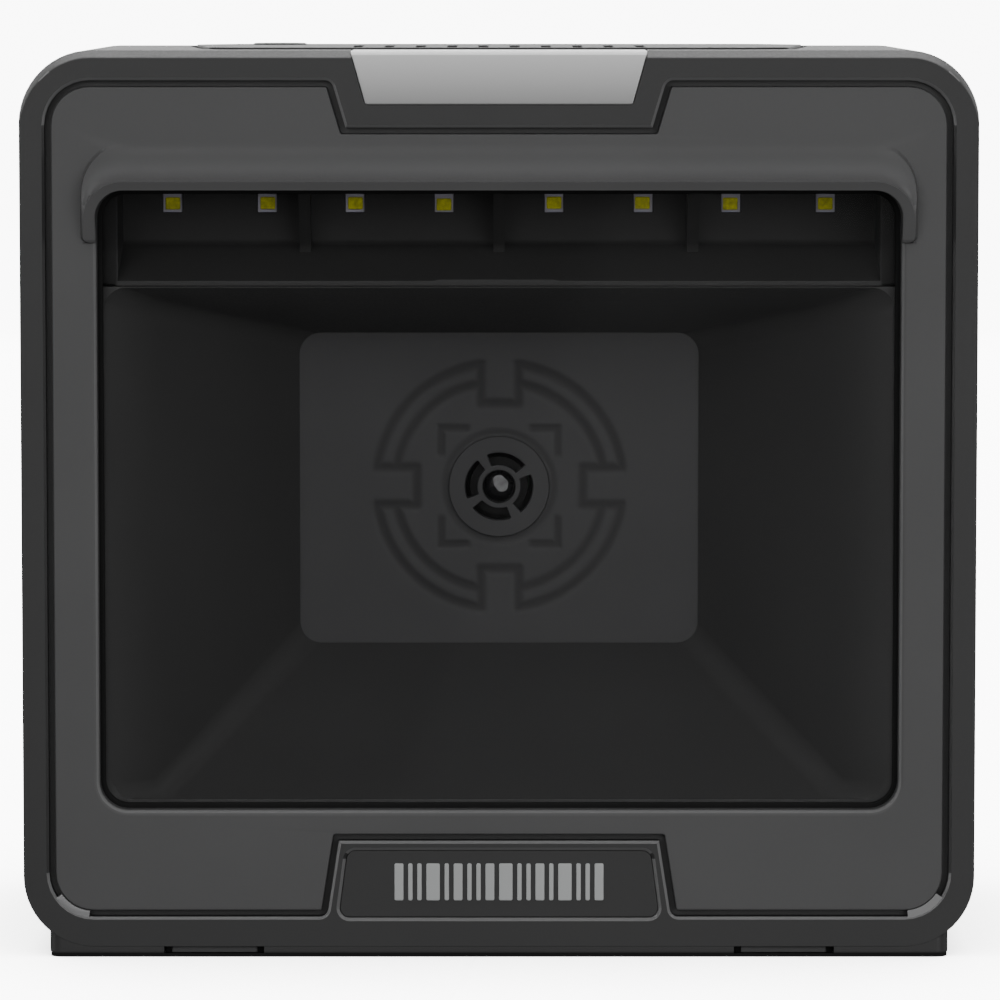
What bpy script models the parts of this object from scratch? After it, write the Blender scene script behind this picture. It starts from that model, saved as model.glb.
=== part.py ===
"""Counter-top presentation barcode scanner, modelled as the assembly that it is.

Run it with: blender --background --python part.py, or from Blender's text editor.

Every dimension below is in millimetres; the helpers turn it into metres. +Z is up, the scan window
faces -Y, and the origin is on the counter under the middle of the scanner. Depths are measured
backwards from the bezel's front face, so `at(depth)` gives a Y coordinate.
"""

import math

import bmesh
import bpy
from mathutils import Matrix, Vector

MM = 0.001

# Overall size
BODY_WIDTH = 150.0
BODY_BOTTOM = 1.7
BODY_TOP = 142.8
BODY_DEPTH = 80.0
BODY_CORNER = 11.2
VISOR_REACH = 6.0
FRONT_Y = -(BODY_DEPTH - VISOR_REACH) / 2

# Clearances: between casing parts, and between small parts that rest on each other
GAP = 0.3
PART_GAP = 0.15
# How far a cutter runs past the face that it cuts through
PAST = 1.0

# Casing
BEZEL_DEPTH = 12.0
BEZEL_WALL = 2.2
LEDGE_FRONT = 2.9
LEDGE_BACK = 5.8
HOUSING_WALL = 2.5
CAVITY_BOTTOM = 6.2
CAVITY_TOP = 139.8
REAR_EDGE = 6.0
TONGUE_OUT = 2.4
TONGUE_IN = 3.7
TONGUE_DEPTHS = (8.0, 16.0)
CAVITY_CORNER = 8.7
LEDGE_OPENING = (66.0, 20.8, 124.1, 3.0)

# Fascia and its groove, the lamp cover in its upper step and the badge in its lower one
FASCIA_HALF = 70.45
FASCIA_BOTTOM = 7.4
FASCIA_TOP = 137.15
FASCIA_CORNER = 6.0
FASCIA_FRONT = 0.3
FASCIA_BACK = 2.6
GROOVE_WIDTH = 1.2
GROOVE_DEPTH = 1.8
NOTCH_EDGE = 0.4
LOWER_NOTCH = (28.0, 26.1, 19.5)
UPPER_NOTCH = (26.9, 24.7, 129.8)
LENS_BOTTOM = 134.35
LENS_BOTTOM_HALF = 20.9
LENS_SLOPE = 0.277
LENS_DEPTHS = (0.1, 10.0)
LENS_FACE = 2.3
BADGE_Z = (6.3, 16.9)
BADGE_HALVES = (25.3, 23.9)
BADGE_DEPTHS = (0.4, 1.4)

# Scan window
WINDOW_HALF = 62.9
WINDOW_BOTTOM = 23.4
WINDOW_TOP = 121.15
WINDOW_CORNER = 4.5
GASKET_REVEAL = 0.8
GASKET_DEPTHS = (2.9, 3.5)
GLASS_DEPTHS = (3.8, 5.7)
GLASS_OVERLAP = 2.0

# Visor: its lip slants back from full reach above the window to a low end at each side
VISOR_END_REACH = 0.9
VISOR_END = 113.0
VISOR_LIP_TOP = 122.5
VISOR_SIDE_LIP = 1.9
VISOR_TOP_FLARE = 5.6
VISOR_SIDE_FLARE = 0.8

# Light tunnel: half width, lowest and highest z, corner radius and depth of each section
TUNNEL_FRONT = (62.3, 23.25, 104.3, 3.6, 6.1)
TUNNEL_STEP = (55.1, 23.25, 102.7, 3.4, 14.0)
TUNNEL_REAR = (32.9, 44.5, 95.9, 3.6, 47.7)
TUNNEL_WALL = 1.2
TUNNEL_FLANGE = 1.6

# Camera, behind the tunnel
CAMERA_Z = 70.4
CAMERA_AXIS = (0.0, CAMERA_Z)
CAMERA_WINDOW_DEPTHS = (48.0, 50.0)
BRACKET_DEPTHS = (50.3, 52.3)
BRACKET_HALF = 39.0
BRACKET_Z = (38.4, 102.4)
CAMERA_BOARD_DEPTHS = (66.4, 68.0)
AIMER_RADIUS = 8.3
AIMER_START = 39.5
AIMER_SWEEP = 71.0
CAMERA_GLASS_RADIUS = 2.4
BARREL_RADIUS = 4.8
HOLDER_HALF = 8.0

# Illumination
LED_X = (8.76, 23.0, 37.0, 52.1)
LED_Z = 118.3
LED_SIZE = 3.0
SHROUD_FRONT = 6.1
SHROUD_BACK = 21.5
SHROUD_TOP = 123.4
SHROUD_HALF = 61.5
POCKET_HALF = 60.0
DIVIDER_X = (-30.8, 0.0, 30.8)
DIVIDER_WIDTH = 1.8
BOARD_THICKNESS = 1.6
LED_BOARD_HALF = 57.0

# Top panel, button and status lights
PANEL_TOP = 143.1
PANEL_BOTTOM = 141.5
BUTTON_X = -36.2
BUTTON_DEPTH = 56.0
BUTTON_RADIUS = 4.6
BUTTON_TOP = 143.4
BUTTON_FLANGE_RADIUS = 5.7
STATUS_X = (29.7, 32.4, 35.7, 38.6, 40.6, 42.6)
SLOT_COUNT = 10
SLOT_PITCH = 5.07
SLOT_DEPTHS = (17.0, 45.0)
SLOT_WIDTH = 1.6
STATUS_RADIUS = 0.75

# Speaker
SPEAKER_DEPTH = 33.5
SPEAKER_RADIUS = 17.0
SPEAKER_Z = (133.2, 138.6)
BRIDGE_Z = (126.6, 128.4)
BRIDGE_LEG_X = 29.0

# Base and feet
BASE_BOTTOM = 0.4
BASE_TOP = 4.6
BASE_HALF = 71.0
BASE_DEPTHS = (0.4, 77.0)
PAD_HALF = 60.0
PAD_DEPTHS = (17.0, 71.0)
PAD_TOP = 3.6
FOOT_X = 45.0
FOOT_WIDTH = 13.6
FOOT_SIDE_GAP = 1.1
FOOT_LENGTH = 9.0
FOOT_FRONT_DEPTH = 1.6
FOOT_REAR_DEPTH = 60.5
REAR_FOOT_TOP = 2.9

# Fasteners and the posts that they enter
CASE_POST_X = 66.0
CASE_POST_Z = (12.4, 130.7)
POST_RADIUS = 3.6
POST_SPLIT = BEZEL_DEPTH + 28.0
CASE_HEAD_SEAT = 76.0
BASE_SCREW_X = 30.0
BASE_SCREW_DEPTHS = (24.0, 64.0)
BASE_HEAD_SEAT = 2.2

# Electronics
JACK_HALF = 7.6
JACK_BOTTOM = 12.9
JACK_HEIGHT = 12.9
JACK_DEPTHS = (60.0, 78.6)
MAIN_BOARD_HALF = 48.0
MAIN_BOARD_DEPTHS = (30.0, 75.0)
MAIN_BOARD_Z = (11.0, 12.6)
BOARD_POST_X = 40.0
BOARD_POST_DEPTHS = (34.0, 71.0)
CONTROL_BOARD_Z = (132.0, 133.6)
SWITCH_Z = (133.7, 137.6)
RIBBON_THICKNESS = 0.4
RIBBON_BEND = 4.0

AXES = {
    "X": Matrix(((0, 0, 1), (1, 0, 0), (0, 1, 0))),
    "Y": Matrix(((1, 0, 0), (0, 0, -1), (0, 1, 0))),
    "Z": Matrix.Identity(3),
}
DIRECTIONS = {"X": Vector((1, 0, 0)), "Y": Vector((0, 1, 0)), "Z": Vector((0, 0, 1))}

# Colour, roughness and metallic value of each material
MATERIALS = {
    "charcoal_plastic": ((0.034, 0.034, 0.035), 0.55, 0.0),
    "slate_plastic": ((0.074, 0.074, 0.075), 0.5, 0.0),
    "black_plastic": ((0.010, 0.010, 0.011), 0.6, 0.0),
    "smoked_plastic": ((0.025, 0.025, 0.026), 0.45, 0.0),
    "frosted_plastic": ((0.55, 0.55, 0.55), 0.4, 0.0),
    "clear_glass": ((0.6, 0.62, 0.62), 0.05, 0.0),
    "black_rubber": ((0.012, 0.012, 0.012), 0.8, 0.0),
    "circuit_board": ((0.012, 0.07, 0.03), 0.5, 0.0),
    "black_board": ((0.012, 0.012, 0.014), 0.45, 0.0),
    "led_white": ((0.45, 0.45, 0.45), 0.4, 0.0),
    "chip_black": ((0.02, 0.02, 0.02), 0.4, 0.0),
    "steel": ((0.55, 0.55, 0.56), 0.3, 1.0),
    "ribbon_white": ((0.6, 0.6, 0.58), 0.5, 0.0),
    "speaker_cone": ((0.03, 0.03, 0.03), 0.7, 0.0),
}


def at(depth):
    """The Y coordinate, in millimetres, of a point this far behind the bezel's front face."""
    return FRONT_Y + depth


def clear_scene():
    for obj in list(bpy.data.objects):
        bpy.data.objects.remove(obj)


def collection(name):
    made = bpy.data.collections.new(name)
    bpy.context.scene.collection.children.link(made)
    return made


def make_material(name):
    colour, roughness, metallic = MATERIALS[name]
    material = bpy.data.materials.new(name)
    material.use_nodes = True
    shader = material.node_tree.nodes["Principled BSDF"]
    shader.inputs["Base Color"].default_value = (*colour, 1)
    shader.inputs["Roughness"].default_value = roughness
    shader.inputs["Metallic"].default_value = metallic
    material.diffuse_color = (*colour, 1)
    return material


# Outlines ------------------------------------------------------------------------------------


def rounded(corners):
    """The outline through corners (u, v, radius), each one rounded by an arc."""
    points = []
    for index, (u, v, radius) in enumerate(corners):
        if radius <= 0:
            points.append((u, v))
            continue
        steps = 2 if radius < 1.5 else 5
        here = Vector((u, v))
        back = (Vector(corners[index - 1][:2]) - here).normalized()
        ahead = (Vector(corners[(index + 1) % len(corners)][:2]) - here).normalized()
        half = back.angle(ahead) / 2
        reach = radius / math.tan(half)
        centre = here + (back + ahead).normalized() * radius / math.sin(half)
        first = here + back * reach - centre
        last = here + ahead * reach - centre
        sweep = math.atan2(first.x * last.y - first.y * last.x, first.dot(last))
        for step in range(steps + 1):
            turn = sweep * step / steps
            cosine, sine = math.cos(turn), math.sin(turn)
            points.append(
                (
                    centre.x + first.x * cosine - first.y * sine,
                    centre.y + first.x * sine + first.y * cosine,
                )
            )
    return points


def grown(corners, grow):
    """Anticlockwise corners (u, v, radius) with every edge moved outwards by `grow`."""
    made = []
    for index, (u, v, radius) in enumerate(corners):
        here = Vector((u, v))
        coming = (here - Vector(corners[index - 1][:2])).normalized()
        going = (Vector(corners[(index + 1) % len(corners)][:2]) - here).normalized()
        normal_in = Vector((coming.y, -coming.x))
        normal_out = Vector((going.y, -going.x))
        corner = here + (normal_in + normal_out) * grow / (1 + normal_in.dot(normal_out))
        convex = coming.x * going.y - coming.y * going.x > 0
        made.append((corner.x, corner.y, max(0.2, radius + (grow if convex else -grow))))
    return made


def box_corners(half_width, low, high, radius):
    """Corners of a rectangle centred on u = 0, from v = low to v = high."""
    return [
        (-half_width, low, radius),
        (half_width, low, radius),
        (half_width, high, radius),
        (-half_width, high, radius),
    ]


def body_corners():
    return box_corners(BODY_WIDTH / 2, BODY_BOTTOM, BODY_TOP, BODY_CORNER)


def window_corners():
    return box_corners(WINDOW_HALF, WINDOW_BOTTOM, WINDOW_TOP, WINDOW_CORNER)


def fascia_corners():
    """The fascia's edge: a rounded square, stepped round the badge below and the lamp above."""
    lower_wide, lower_narrow, lower_z = LOWER_NOTCH
    upper_wide, upper_narrow, upper_z = UPPER_NOTCH
    return [
        (-FASCIA_HALF, FASCIA_BOTTOM, FASCIA_CORNER),
        (-lower_wide, FASCIA_BOTTOM, NOTCH_EDGE),
        (-lower_narrow, lower_z, NOTCH_EDGE),
        (lower_narrow, lower_z, NOTCH_EDGE),
        (lower_wide, FASCIA_BOTTOM, NOTCH_EDGE),
        (FASCIA_HALF, FASCIA_BOTTOM, FASCIA_CORNER),
        (FASCIA_HALF, FASCIA_TOP, FASCIA_CORNER),
        (upper_wide, FASCIA_TOP, NOTCH_EDGE),
        (upper_narrow, upper_z, NOTCH_EDGE),
        (-upper_narrow, upper_z, NOTCH_EDGE),
        (-upper_wide, FASCIA_TOP, NOTCH_EDGE),
        (-FASCIA_HALF, FASCIA_TOP, FASCIA_CORNER),
    ]


def lens_corners(top):
    """The indicator lens: a trapezoid, wider towards the top edge of the scanner."""
    top_half = LENS_BOTTOM_HALF + LENS_SLOPE * (top - LENS_BOTTOM)
    return [
        (-LENS_BOTTOM_HALF, LENS_BOTTOM, 0.8),
        (LENS_BOTTOM_HALF, LENS_BOTTOM, 0.8),
        (top_half, top, 0),
        (-top_half, top, 0),
    ]


def badge_corners():
    (low, high), (low_half, high_half) = BADGE_Z, BADGE_HALVES
    return [(-low_half, low, 1.5), (low_half, low, 1.5), (high_half, high, 1.5), (-high_half, high, 1.5)]


def panel_corners():
    """The top panel in plan: rounded front corners, and sides that spread towards the back."""
    return [
        (-45.6, at(13.5), 6.0),
        (45.6, at(13.5), 6.0),
        (50.3, at(60.0), 8.0),
        (43.0, at(70.0), 6.0),
        (-43.0, at(70.0), 6.0),
        (-50.3, at(60.0), 8.0),
    ]


# Solids --------------------------------------------------------------------------------------


def solid(name, material, mesh, group=None):
    obj = bpy.data.objects.new(name, mesh)
    (group or PARTS).objects.link(obj)
    mesh.materials.clear()
    mesh.materials.append(SURFACES[material])
    mesh.shade_smooth()
    mesh.set_sharp_from_angle(angle=math.radians(35))
    return obj


def prism(name, material, outline, low, high, axis="Y", holes=(), group=None):
    """A solid with one outline, less its holes, from low to high along an axis."""
    curve = bpy.data.curves.new(name, "CURVE")
    curve.dimensions = "2D"
    curve.fill_mode = "BOTH"
    curve.extrude = (high - low) / 2 * MM
    for loop in (outline, *holes):
        spline = curve.splines.new("POLY")
        spline.points.add(len(loop) - 1)
        for point, (u, v) in zip(spline.points, loop):
            point.co = (u * MM, v * MM, 0, 1)
        spline.use_cyclic_u = True
    flat = bpy.data.objects.new(name + "_curve", curve)
    bpy.context.scene.collection.objects.link(flat)
    graph = bpy.context.evaluated_depsgraph_get()
    mesh = bpy.data.meshes.new_from_object(flat.evaluated_get(graph))
    bpy.data.objects.remove(flat)
    bm = bmesh.new()
    bm.from_mesh(mesh)
    bmesh.ops.remove_doubles(bm, verts=bm.verts, dist=1e-6)
    bmesh.ops.recalc_face_normals(bm, faces=bm.faces)
    bm.to_mesh(mesh)
    bm.free()
    obj = solid(name, material, mesh, group)
    matrix = AXES[axis].to_4x4()
    matrix.translation = DIRECTIONS[axis] * (low + high) / 2 * MM
    obj.matrix_world = matrix
    return obj


def cylinder(name, material, radius, low, high, centre, axis="Z", segments=20, group=None, tip=None):
    """A cylinder, or a cone if `tip` gives the radius at its far end, round an axis at centre (u, v).

    For axis Y, u and v are x and z; for axis Z they are x and y; for axis X they are y and z.
    """
    near, far = radius, radius if tip is None else tip
    if axis == "Y":
        near, far = far, near
    bm = bmesh.new()
    bmesh.ops.create_cone(
        bm,
        cap_ends=True,
        segments=segments,
        radius1=near * MM,
        radius2=far * MM,
        depth=(high - low) * MM,
    )
    mesh = bpy.data.meshes.new(name)
    bm.to_mesh(mesh)
    bm.free()
    obj = solid(name, material, mesh, group)
    turned = AXES[axis]
    matrix = turned.to_4x4()
    matrix.translation = (
        turned @ Vector((centre[0], centre[1], 0)) + DIRECTIONS[axis] * (low + high) / 2
    ) * MM
    obj.matrix_world = matrix
    return obj


def block(name, material, low, high, group=None):
    """A box between two corners (x, y, z)."""
    bm = bmesh.new()
    bmesh.ops.create_cube(bm, size=1)
    size = [(b - a) * MM for a, b in zip(low, high)]
    bmesh.ops.scale(bm, vec=size, verts=bm.verts)
    mesh = bpy.data.meshes.new(name)
    bm.to_mesh(mesh)
    bm.free()
    obj = solid(name, material, mesh, group)
    obj.matrix_world = Matrix.Translation([(a + b) / 2 * MM for a, b in zip(low, high)])
    return obj


def loft(name, material, rings, capped, group=None):
    """A skin through rings of equally many points: capped at both ends, or else closed on itself."""
    bm = bmesh.new()
    rows = [[bm.verts.new([c * MM for c in point]) for point in ring] for ring in rings]
    pairs = list(zip(rows, rows[1:]))
    if not capped:
        pairs.append((rows[-1], rows[0]))
    for row, following in pairs:
        for index in range(len(row)):
            nearby = (index + 1) % len(row)
            bm.faces.new((row[index], row[nearby], following[nearby], following[index]))
    if capped:
        bm.faces.new(rows[0])
        bm.faces.new(rows[-1])
    bmesh.ops.recalc_face_normals(bm, faces=bm.faces)
    mesh = bpy.data.meshes.new(name)
    bm.to_mesh(mesh)
    bm.free()
    return solid(name, material, mesh, group)


def in_plane(outline, depth):
    """The outline's (x, z) points as (x, y, z) points at a depth."""
    return [(u, at(depth), v) for u, v in outline]


def merged(name, pieces):
    """One helper object from several, which stay separate bodies inside it."""
    bm = bmesh.new()
    for piece in pieces:
        first = len(bm.verts)
        bm.from_mesh(piece.data)
        bm.verts.ensure_lookup_table()
        bmesh.ops.transform(bm, matrix=piece.matrix_world, verts=bm.verts[first:])
        bpy.data.objects.remove(piece)
    mesh = bpy.data.meshes.new(name)
    bm.to_mesh(mesh)
    bm.free()
    return solid(name, "steel", mesh, CUTTERS)


def change(target, operation, helpers):
    """Cuts the helpers from the target, or joins them to it, with one Boolean for each."""
    for helper in helpers:
        helper.hide_render = True
        helper.display_type = "WIRE"
        modifier = target.modifiers.new(helper.name, "BOOLEAN")
        modifier.operation = operation
        modifier.solver = "EXACT"
        modifier.object = helper


def cut(target, *helpers):
    change(target, "DIFFERENCE", helpers)


def join(target, *helpers):
    change(target, "UNION", helpers)


def cutter_prism(name, outline, low, high, axis="Y", holes=()):
    return prism(name, "steel", outline, low, high, axis, holes, CUTTERS)


def cutter_block(name, low, high):
    return block(name, "steel", low, high, CUTTERS)


def cutter_cylinder(name, radius, low, high, centre, axis="Z", segments=16, tip=None):
    return cylinder(name, "steel", radius, low, high, centre, axis, segments, CUTTERS, tip)


def pegs(name, radius, low, high, places, axis="Y", segments=16):
    """A helper of equal cylinders, one at each place."""
    made = [cutter_cylinder(name + "_one", radius, low, high, place, axis, segments) for place in places]
    return merged(name, made)


# Casing --------------------------------------------------------------------------------------


def case_post_places():
    """(x, z) of the four posts that the case screws run through."""
    return [(side * CASE_POST_X, z) for z in CASE_POST_Z for side in (-1, 1)]


def base_screw_places():
    """(x, y) of the four screws in the base."""
    return [(side * BASE_SCREW_X, at(depth)) for depth in BASE_SCREW_DEPTHS for side in (-1, 1)]


def rear_edge_rings():
    """The housing's outer rings: straight sides, then a quarter round into the back wall."""
    rings = [in_plane(rounded(body_corners()), BEZEL_DEPTH + GAP)]
    for step in range(4):
        angle = math.pi / 2 * step / 3
        inset = REAR_EDGE * (1 - math.cos(angle))
        depth = BODY_DEPTH - REAR_EDGE + REAR_EDGE * math.sin(angle)
        rings.append(in_plane(rounded(grown(body_corners(), -inset)), depth))
    return rings


def housing_inside():
    """What is joined inside the housing: the tongue that enters the bezel, and the posts and bosses."""
    tongue = cutter_prism(
        "housing_tongue",
        rounded(grown(body_corners(), -TONGUE_OUT)),
        at(TONGUE_DEPTHS[0]),
        at(TONGUE_DEPTHS[1]),
        holes=[rounded(grown(body_corners(), -TONGUE_IN))],
    )
    posts = pegs("housing_posts", POST_RADIUS, at(POST_SPLIT + GAP), at(BODY_DEPTH - 1.2), case_post_places())
    bosses = pegs("housing_bosses", 3.0, 5.0, MAIN_BOARD_Z[0] - 0.6, base_screw_places(), "Z")
    board_places = [(side * BOARD_POST_X, at(depth)) for side in (-1, 1) for depth in BOARD_POST_DEPTHS]
    board_posts = pegs("housing_board_posts", 2.2, 5.0, MAIN_BOARD_Z[0] - PART_GAP, board_places, "Z", 12)
    return tongue, posts, bosses, board_posts


def housing_top_openings():
    """The panel's recess in the top wall, and the ways through it for sound, button and lights."""
    above = PANEL_TOP + 2 * PAST
    below = CAVITY_TOP - 2 * PAST
    return (
        cutter_prism("panel_recess", rounded(grown(panel_corners(), GAP)), PANEL_BOTTOM - GAP, above, "Z"),
        cutter_block("tongue_gap", (-25.0, at(7.0), LENS_BOTTOM), (25.0, at(BEZEL_DEPTH + 0.2), 141.6)),
        cutter_block("sound_opening", (-25.5, at(SLOT_DEPTHS[0] - 0.5), below), (25.5, at(46.0), above)),
        cutter_cylinder("button_well", 6.2, below, above, (BUTTON_X, at(BUTTON_DEPTH))),
        cutter_block(
            "status_well",
            (STATUS_X[0] - 1.6, at(BUTTON_DEPTH - 1.8), below),
            (STATUS_X[-1] + 1.6, at(BUTTON_DEPTH + 1.8), above),
        ),
    )


def housing_lower_openings():
    """The base's recess in the floor, the host socket's opening and the screws' holes."""
    jack = box_corners(JACK_HALF + 0.6, JACK_BOTTOM - 0.5, JACK_BOTTOM + JACK_HEIGHT + 0.6, 0.6)
    behind = BODY_DEPTH + PAST
    return (
        cutter_block(
            "base_recess",
            (-PAD_HALF - GAP, at(PAD_DEPTHS[0] - GAP), -PAST),
            (PAD_HALF + GAP, at(PAD_DEPTHS[1] + GAP), PAD_TOP + GAP),
        ),
        cutter_prism("jack_opening", rounded(jack), at(CASE_HEAD_SEAT), at(behind)),
        pegs("case_bores", 1.8, at(POST_SPLIT - PAST), at(behind), case_post_places(), segments=12),
        pegs("case_counterbores", 3.1, at(CASE_HEAD_SEAT), at(behind), case_post_places()),
        pegs("base_screw_bores", 1.5, BODY_BOTTOM, 9.6, base_screw_places(), "Z", 12),
    )


def rear_housing():
    """The tub that holds everything: top, sides, floor and back in one moulding."""
    housing = loft("rear_housing", "charcoal_plastic", rear_edge_rings(), capped=True)
    inner = box_corners(BODY_WIDTH / 2 - HOUSING_WALL, CAVITY_BOTTOM, CAVITY_TOP, CAVITY_CORNER)
    cavity = cutter_prism(
        "housing_cavity", rounded(inner), at(BEZEL_DEPTH - PAST), at(BODY_DEPTH - HOUSING_WALL)
    )
    cut(housing, cavity)
    join(housing, *housing_inside())
    cut(housing, *housing_top_openings(), *housing_lower_openings())


def front_bezel():
    """The dark front frame, with the ledge that carries the fascia and four screw posts behind."""
    bezel = prism("front_bezel", "charcoal_plastic", rounded(body_corners()), at(0), at(BEZEL_DEPTH))
    front = at(-PAST)
    rear_pocket = rounded(grown(body_corners(), -BEZEL_WALL))
    cut(bezel, cutter_prism("bezel_rear_pocket", rear_pocket, at(LEDGE_BACK), at(BEZEL_DEPTH + PAST)))
    join(bezel, pegs("bezel_posts", POST_RADIUS, at(LEDGE_BACK - 1.4), at(POST_SPLIT), case_post_places()))
    cut(
        bezel,
        cutter_prism("bezel_opening", rounded(box_corners(*LEDGE_OPENING)), front, at(LEDGE_BACK + PAST)),
        cutter_prism("bezel_groove", rounded(grown(fascia_corners(), GROOVE_WIDTH)), front, at(GROOVE_DEPTH)),
        cutter_prism("bezel_seat", rounded(grown(fascia_corners(), GAP)), front, at(LEDGE_FRONT)),
        cutter_prism(
            "bezel_lens_pocket", rounded(grown(lens_corners(BODY_TOP + 2 * PAST), GAP)), front, at(LENS_DEPTHS[1] + GAP)
        ),
        cutter_prism(
            "bezel_badge_seat", rounded(grown(badge_corners(), GAP)), front, at(BADGE_DEPTHS[1] + GAP)
        ),
        pegs("bezel_pilots", 1.7, at(24.0), at(POST_SPLIT + PAST), case_post_places(), segments=12),
    )


def visor_reach(z):
    """How far the visor's slanting lip stands out at a height."""
    return VISOR_END_REACH + (VISOR_REACH - VISOR_END_REACH) * (z - VISOR_END) / (VISOR_LIP_TOP - VISOR_END)


def visor_rings():
    """Sections of the visor, swept round the top of the window, each a closed ring of five points."""
    outline = rounded(window_corners())
    upper = [point for point in outline if point[1] > WINDOW_TOP - WINDOW_CORNER - 0.01]
    path = [(WINDOW_HALF, VISOR_END), *upper, (-WINDOW_HALF, VISOR_END)]
    rings = []
    for index, (x, z) in enumerate(path):
        before = Vector(path[max(0, index - 1)])
        after = Vector(path[min(len(path) - 1, index + 1)])
        along = (after - before).normalized()
        upward = max(0.0, -along.x)
        lip = VISOR_SIDE_LIP + (VISOR_LIP_TOP - WINDOW_TOP - VISOR_SIDE_LIP) * upward
        foot = lip + VISOR_SIDE_FLARE + (VISOR_TOP_FLARE - VISOR_SIDE_FLARE) * upward
        outer_x, outer_z = x + along.y * lip, z - along.x * lip
        foot_x, foot_z = x + along.y * foot, z - along.x * foot
        rings.append(
            [
                (x, at(1.5), z),
                (x, at(-visor_reach(z)), z),
                (outer_x, at(-visor_reach(outer_z)), outer_z),
                (foot_x, at(FASCIA_FRONT), foot_z),
                (foot_x, at(1.5), foot_z),
            ]
        )
    return rings


def fascia_panel():
    """The lighter inner face, with the window's opening and the visor over it."""
    fascia = prism(
        "fascia_panel",
        "slate_plastic",
        rounded(fascia_corners()),
        at(FASCIA_FRONT),
        at(FASCIA_BACK),
        holes=[rounded(window_corners())],
    )
    join(fascia, loft("visor", "slate_plastic", visor_rings(), capped=True, group=CUTTERS))


def indicator_lens():
    """The translucent lamp cover that wraps over the top front edge, hollow from behind."""
    front, back = LENS_DEPTHS
    lens = prism("indicator_lens", "frosted_plastic", rounded(lens_corners(BODY_TOP)), at(front), at(back))
    half = LENS_BOTTOM_HALF - 1.9
    hollow_top = BODY_TOP - LENS_FACE
    cut(
        lens,
        cutter_block(
            "lens_hollow",
            (-half, at(front + LENS_FACE), LENS_BOTTOM - PAST),
            (half, at(back + PAST), hollow_top),
        ),
    )


def badge_plate():
    low, high = BADGE_DEPTHS
    prism("badge_plate", "black_plastic", rounded(badge_corners()), at(low), at(high))


def top_panel():
    """The raised panel on top: speaker slots, the button's hole and six status-light holes."""
    panel = prism(
        "top_panel", "charcoal_plastic", rounded(panel_corners()), PANEL_BOTTOM, PANEL_TOP, "Z"
    )
    below, above = PANEL_BOTTOM - PAST, PANEL_TOP + PAST
    first = -SLOT_PITCH * (SLOT_COUNT - 1) / 2
    slots = [
        cutter_block(
            "slot",
            (first + SLOT_PITCH * index - SLOT_WIDTH / 2, at(SLOT_DEPTHS[0]), below),
            (first + SLOT_PITCH * index + SLOT_WIDTH / 2, at(SLOT_DEPTHS[1]), above),
        )
        for index in range(SLOT_COUNT)
    ]
    lights = [(x, at(BUTTON_DEPTH)) for x in STATUS_X]
    button = (BUTTON_X, at(BUTTON_DEPTH))
    cut(
        panel,
        merged("panel_slots", slots),
        cutter_cylinder("panel_button_hole", BUTTON_RADIUS + GAP, below, above, button),
        pegs("panel_light_holes", STATUS_RADIUS, below, above, lights, "Z", 8),
    )


def foot_notches():
    """Cutters for the four feet: the front pair is open to the front."""
    rows = (
        (-PAST, FOOT_FRONT_DEPTH + FOOT_LENGTH + GAP),
        (FOOT_REAR_DEPTH - GAP, FOOT_REAR_DEPTH + FOOT_LENGTH + GAP),
    )
    half = FOOT_WIDTH / 2 + FOOT_SIDE_GAP
    notches = [
        cutter_block("notch", (x - half, at(start), -PAST), (x + half, at(end), REAR_FOOT_TOP + PART_GAP))
        for x in (-FOOT_X, FOOT_X)
        for start, end in rows
    ]
    return merged("foot_notches", notches)


def base_plate():
    """The plinth under the body: it hugs the lower corners and fills the recess in the floor."""
    low, high = BASE_DEPTHS
    plan = [
        (-BASE_HALF, at(low), 2.0),
        (BASE_HALF, at(low), 2.0),
        (BASE_HALF, at(high), 6.0),
        (-BASE_HALF, at(high), 6.0),
    ]
    base = prism("base_plate", "charcoal_plastic", rounded(plan), BASE_BOTTOM, BASE_TOP, "Z")
    body = rounded(grown(body_corners(), GAP))
    cut(base, cutter_prism("body_shape", body, at(-PAST), at(BODY_DEPTH + PAST)))
    pad_low = (-PAD_HALF, at(PAD_DEPTHS[0]), BASE_BOTTOM + 0.2)
    pad_high = (PAD_HALF, at(PAD_DEPTHS[1]), PAD_TOP)
    join(base, cutter_block("base_pad", pad_low, pad_high))
    cut(
        base,
        foot_notches(),
        pegs("base_bores", 1.5, -PAST, BASE_TOP, base_screw_places(), "Z", 12),
        pegs("base_counterbores", 2.8, -PAST, BASE_HEAD_SEAT, base_screw_places(), "Z"),
    )


def feet():
    """Four rubber feet, each a low block with its lower edges eased."""
    rows = (
        ("front", FOOT_FRONT_DEPTH, BODY_BOTTOM - PART_GAP),
        ("rear", FOOT_REAR_DEPTH, REAR_FOOT_TOP),
    )
    half, eased = FOOT_WIDTH / 2, 0.5
    for row, start, top in rows:
        for word, middle in (("left", -FOOT_X), ("right", FOOT_X)):
            profile = [
                (middle - half, top),
                (middle - half, eased),
                (middle - half + eased, 0.0),
                (middle + half - eased, 0.0),
                (middle + half, eased),
                (middle + half, top),
            ]
            prism(f"foot_{row}_{word}", "black_rubber", profile, at(start), at(start + FOOT_LENGTH))


# Window and optics ---------------------------------------------------------------------------


def window_parts():
    outer = grown(window_corners(), GLASS_OVERLAP)
    prism(
        "window_gasket",
        "black_rubber",
        rounded(outer),
        at(GASKET_DEPTHS[0]),
        at(GASKET_DEPTHS[1]),
        holes=[rounded(grown(window_corners(), -GASKET_REVEAL))],
    )
    prism("scan_window", "clear_glass", rounded(outer), at(GLASS_DEPTHS[0]), at(GLASS_DEPTHS[1]))


def between(front, rear, depth):
    """The tunnel's section at a depth between two given sections."""
    share = (depth - front[4]) / (rear[4] - front[4])
    return tuple(a + (b - a) * share for a, b in zip(front, rear))


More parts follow.
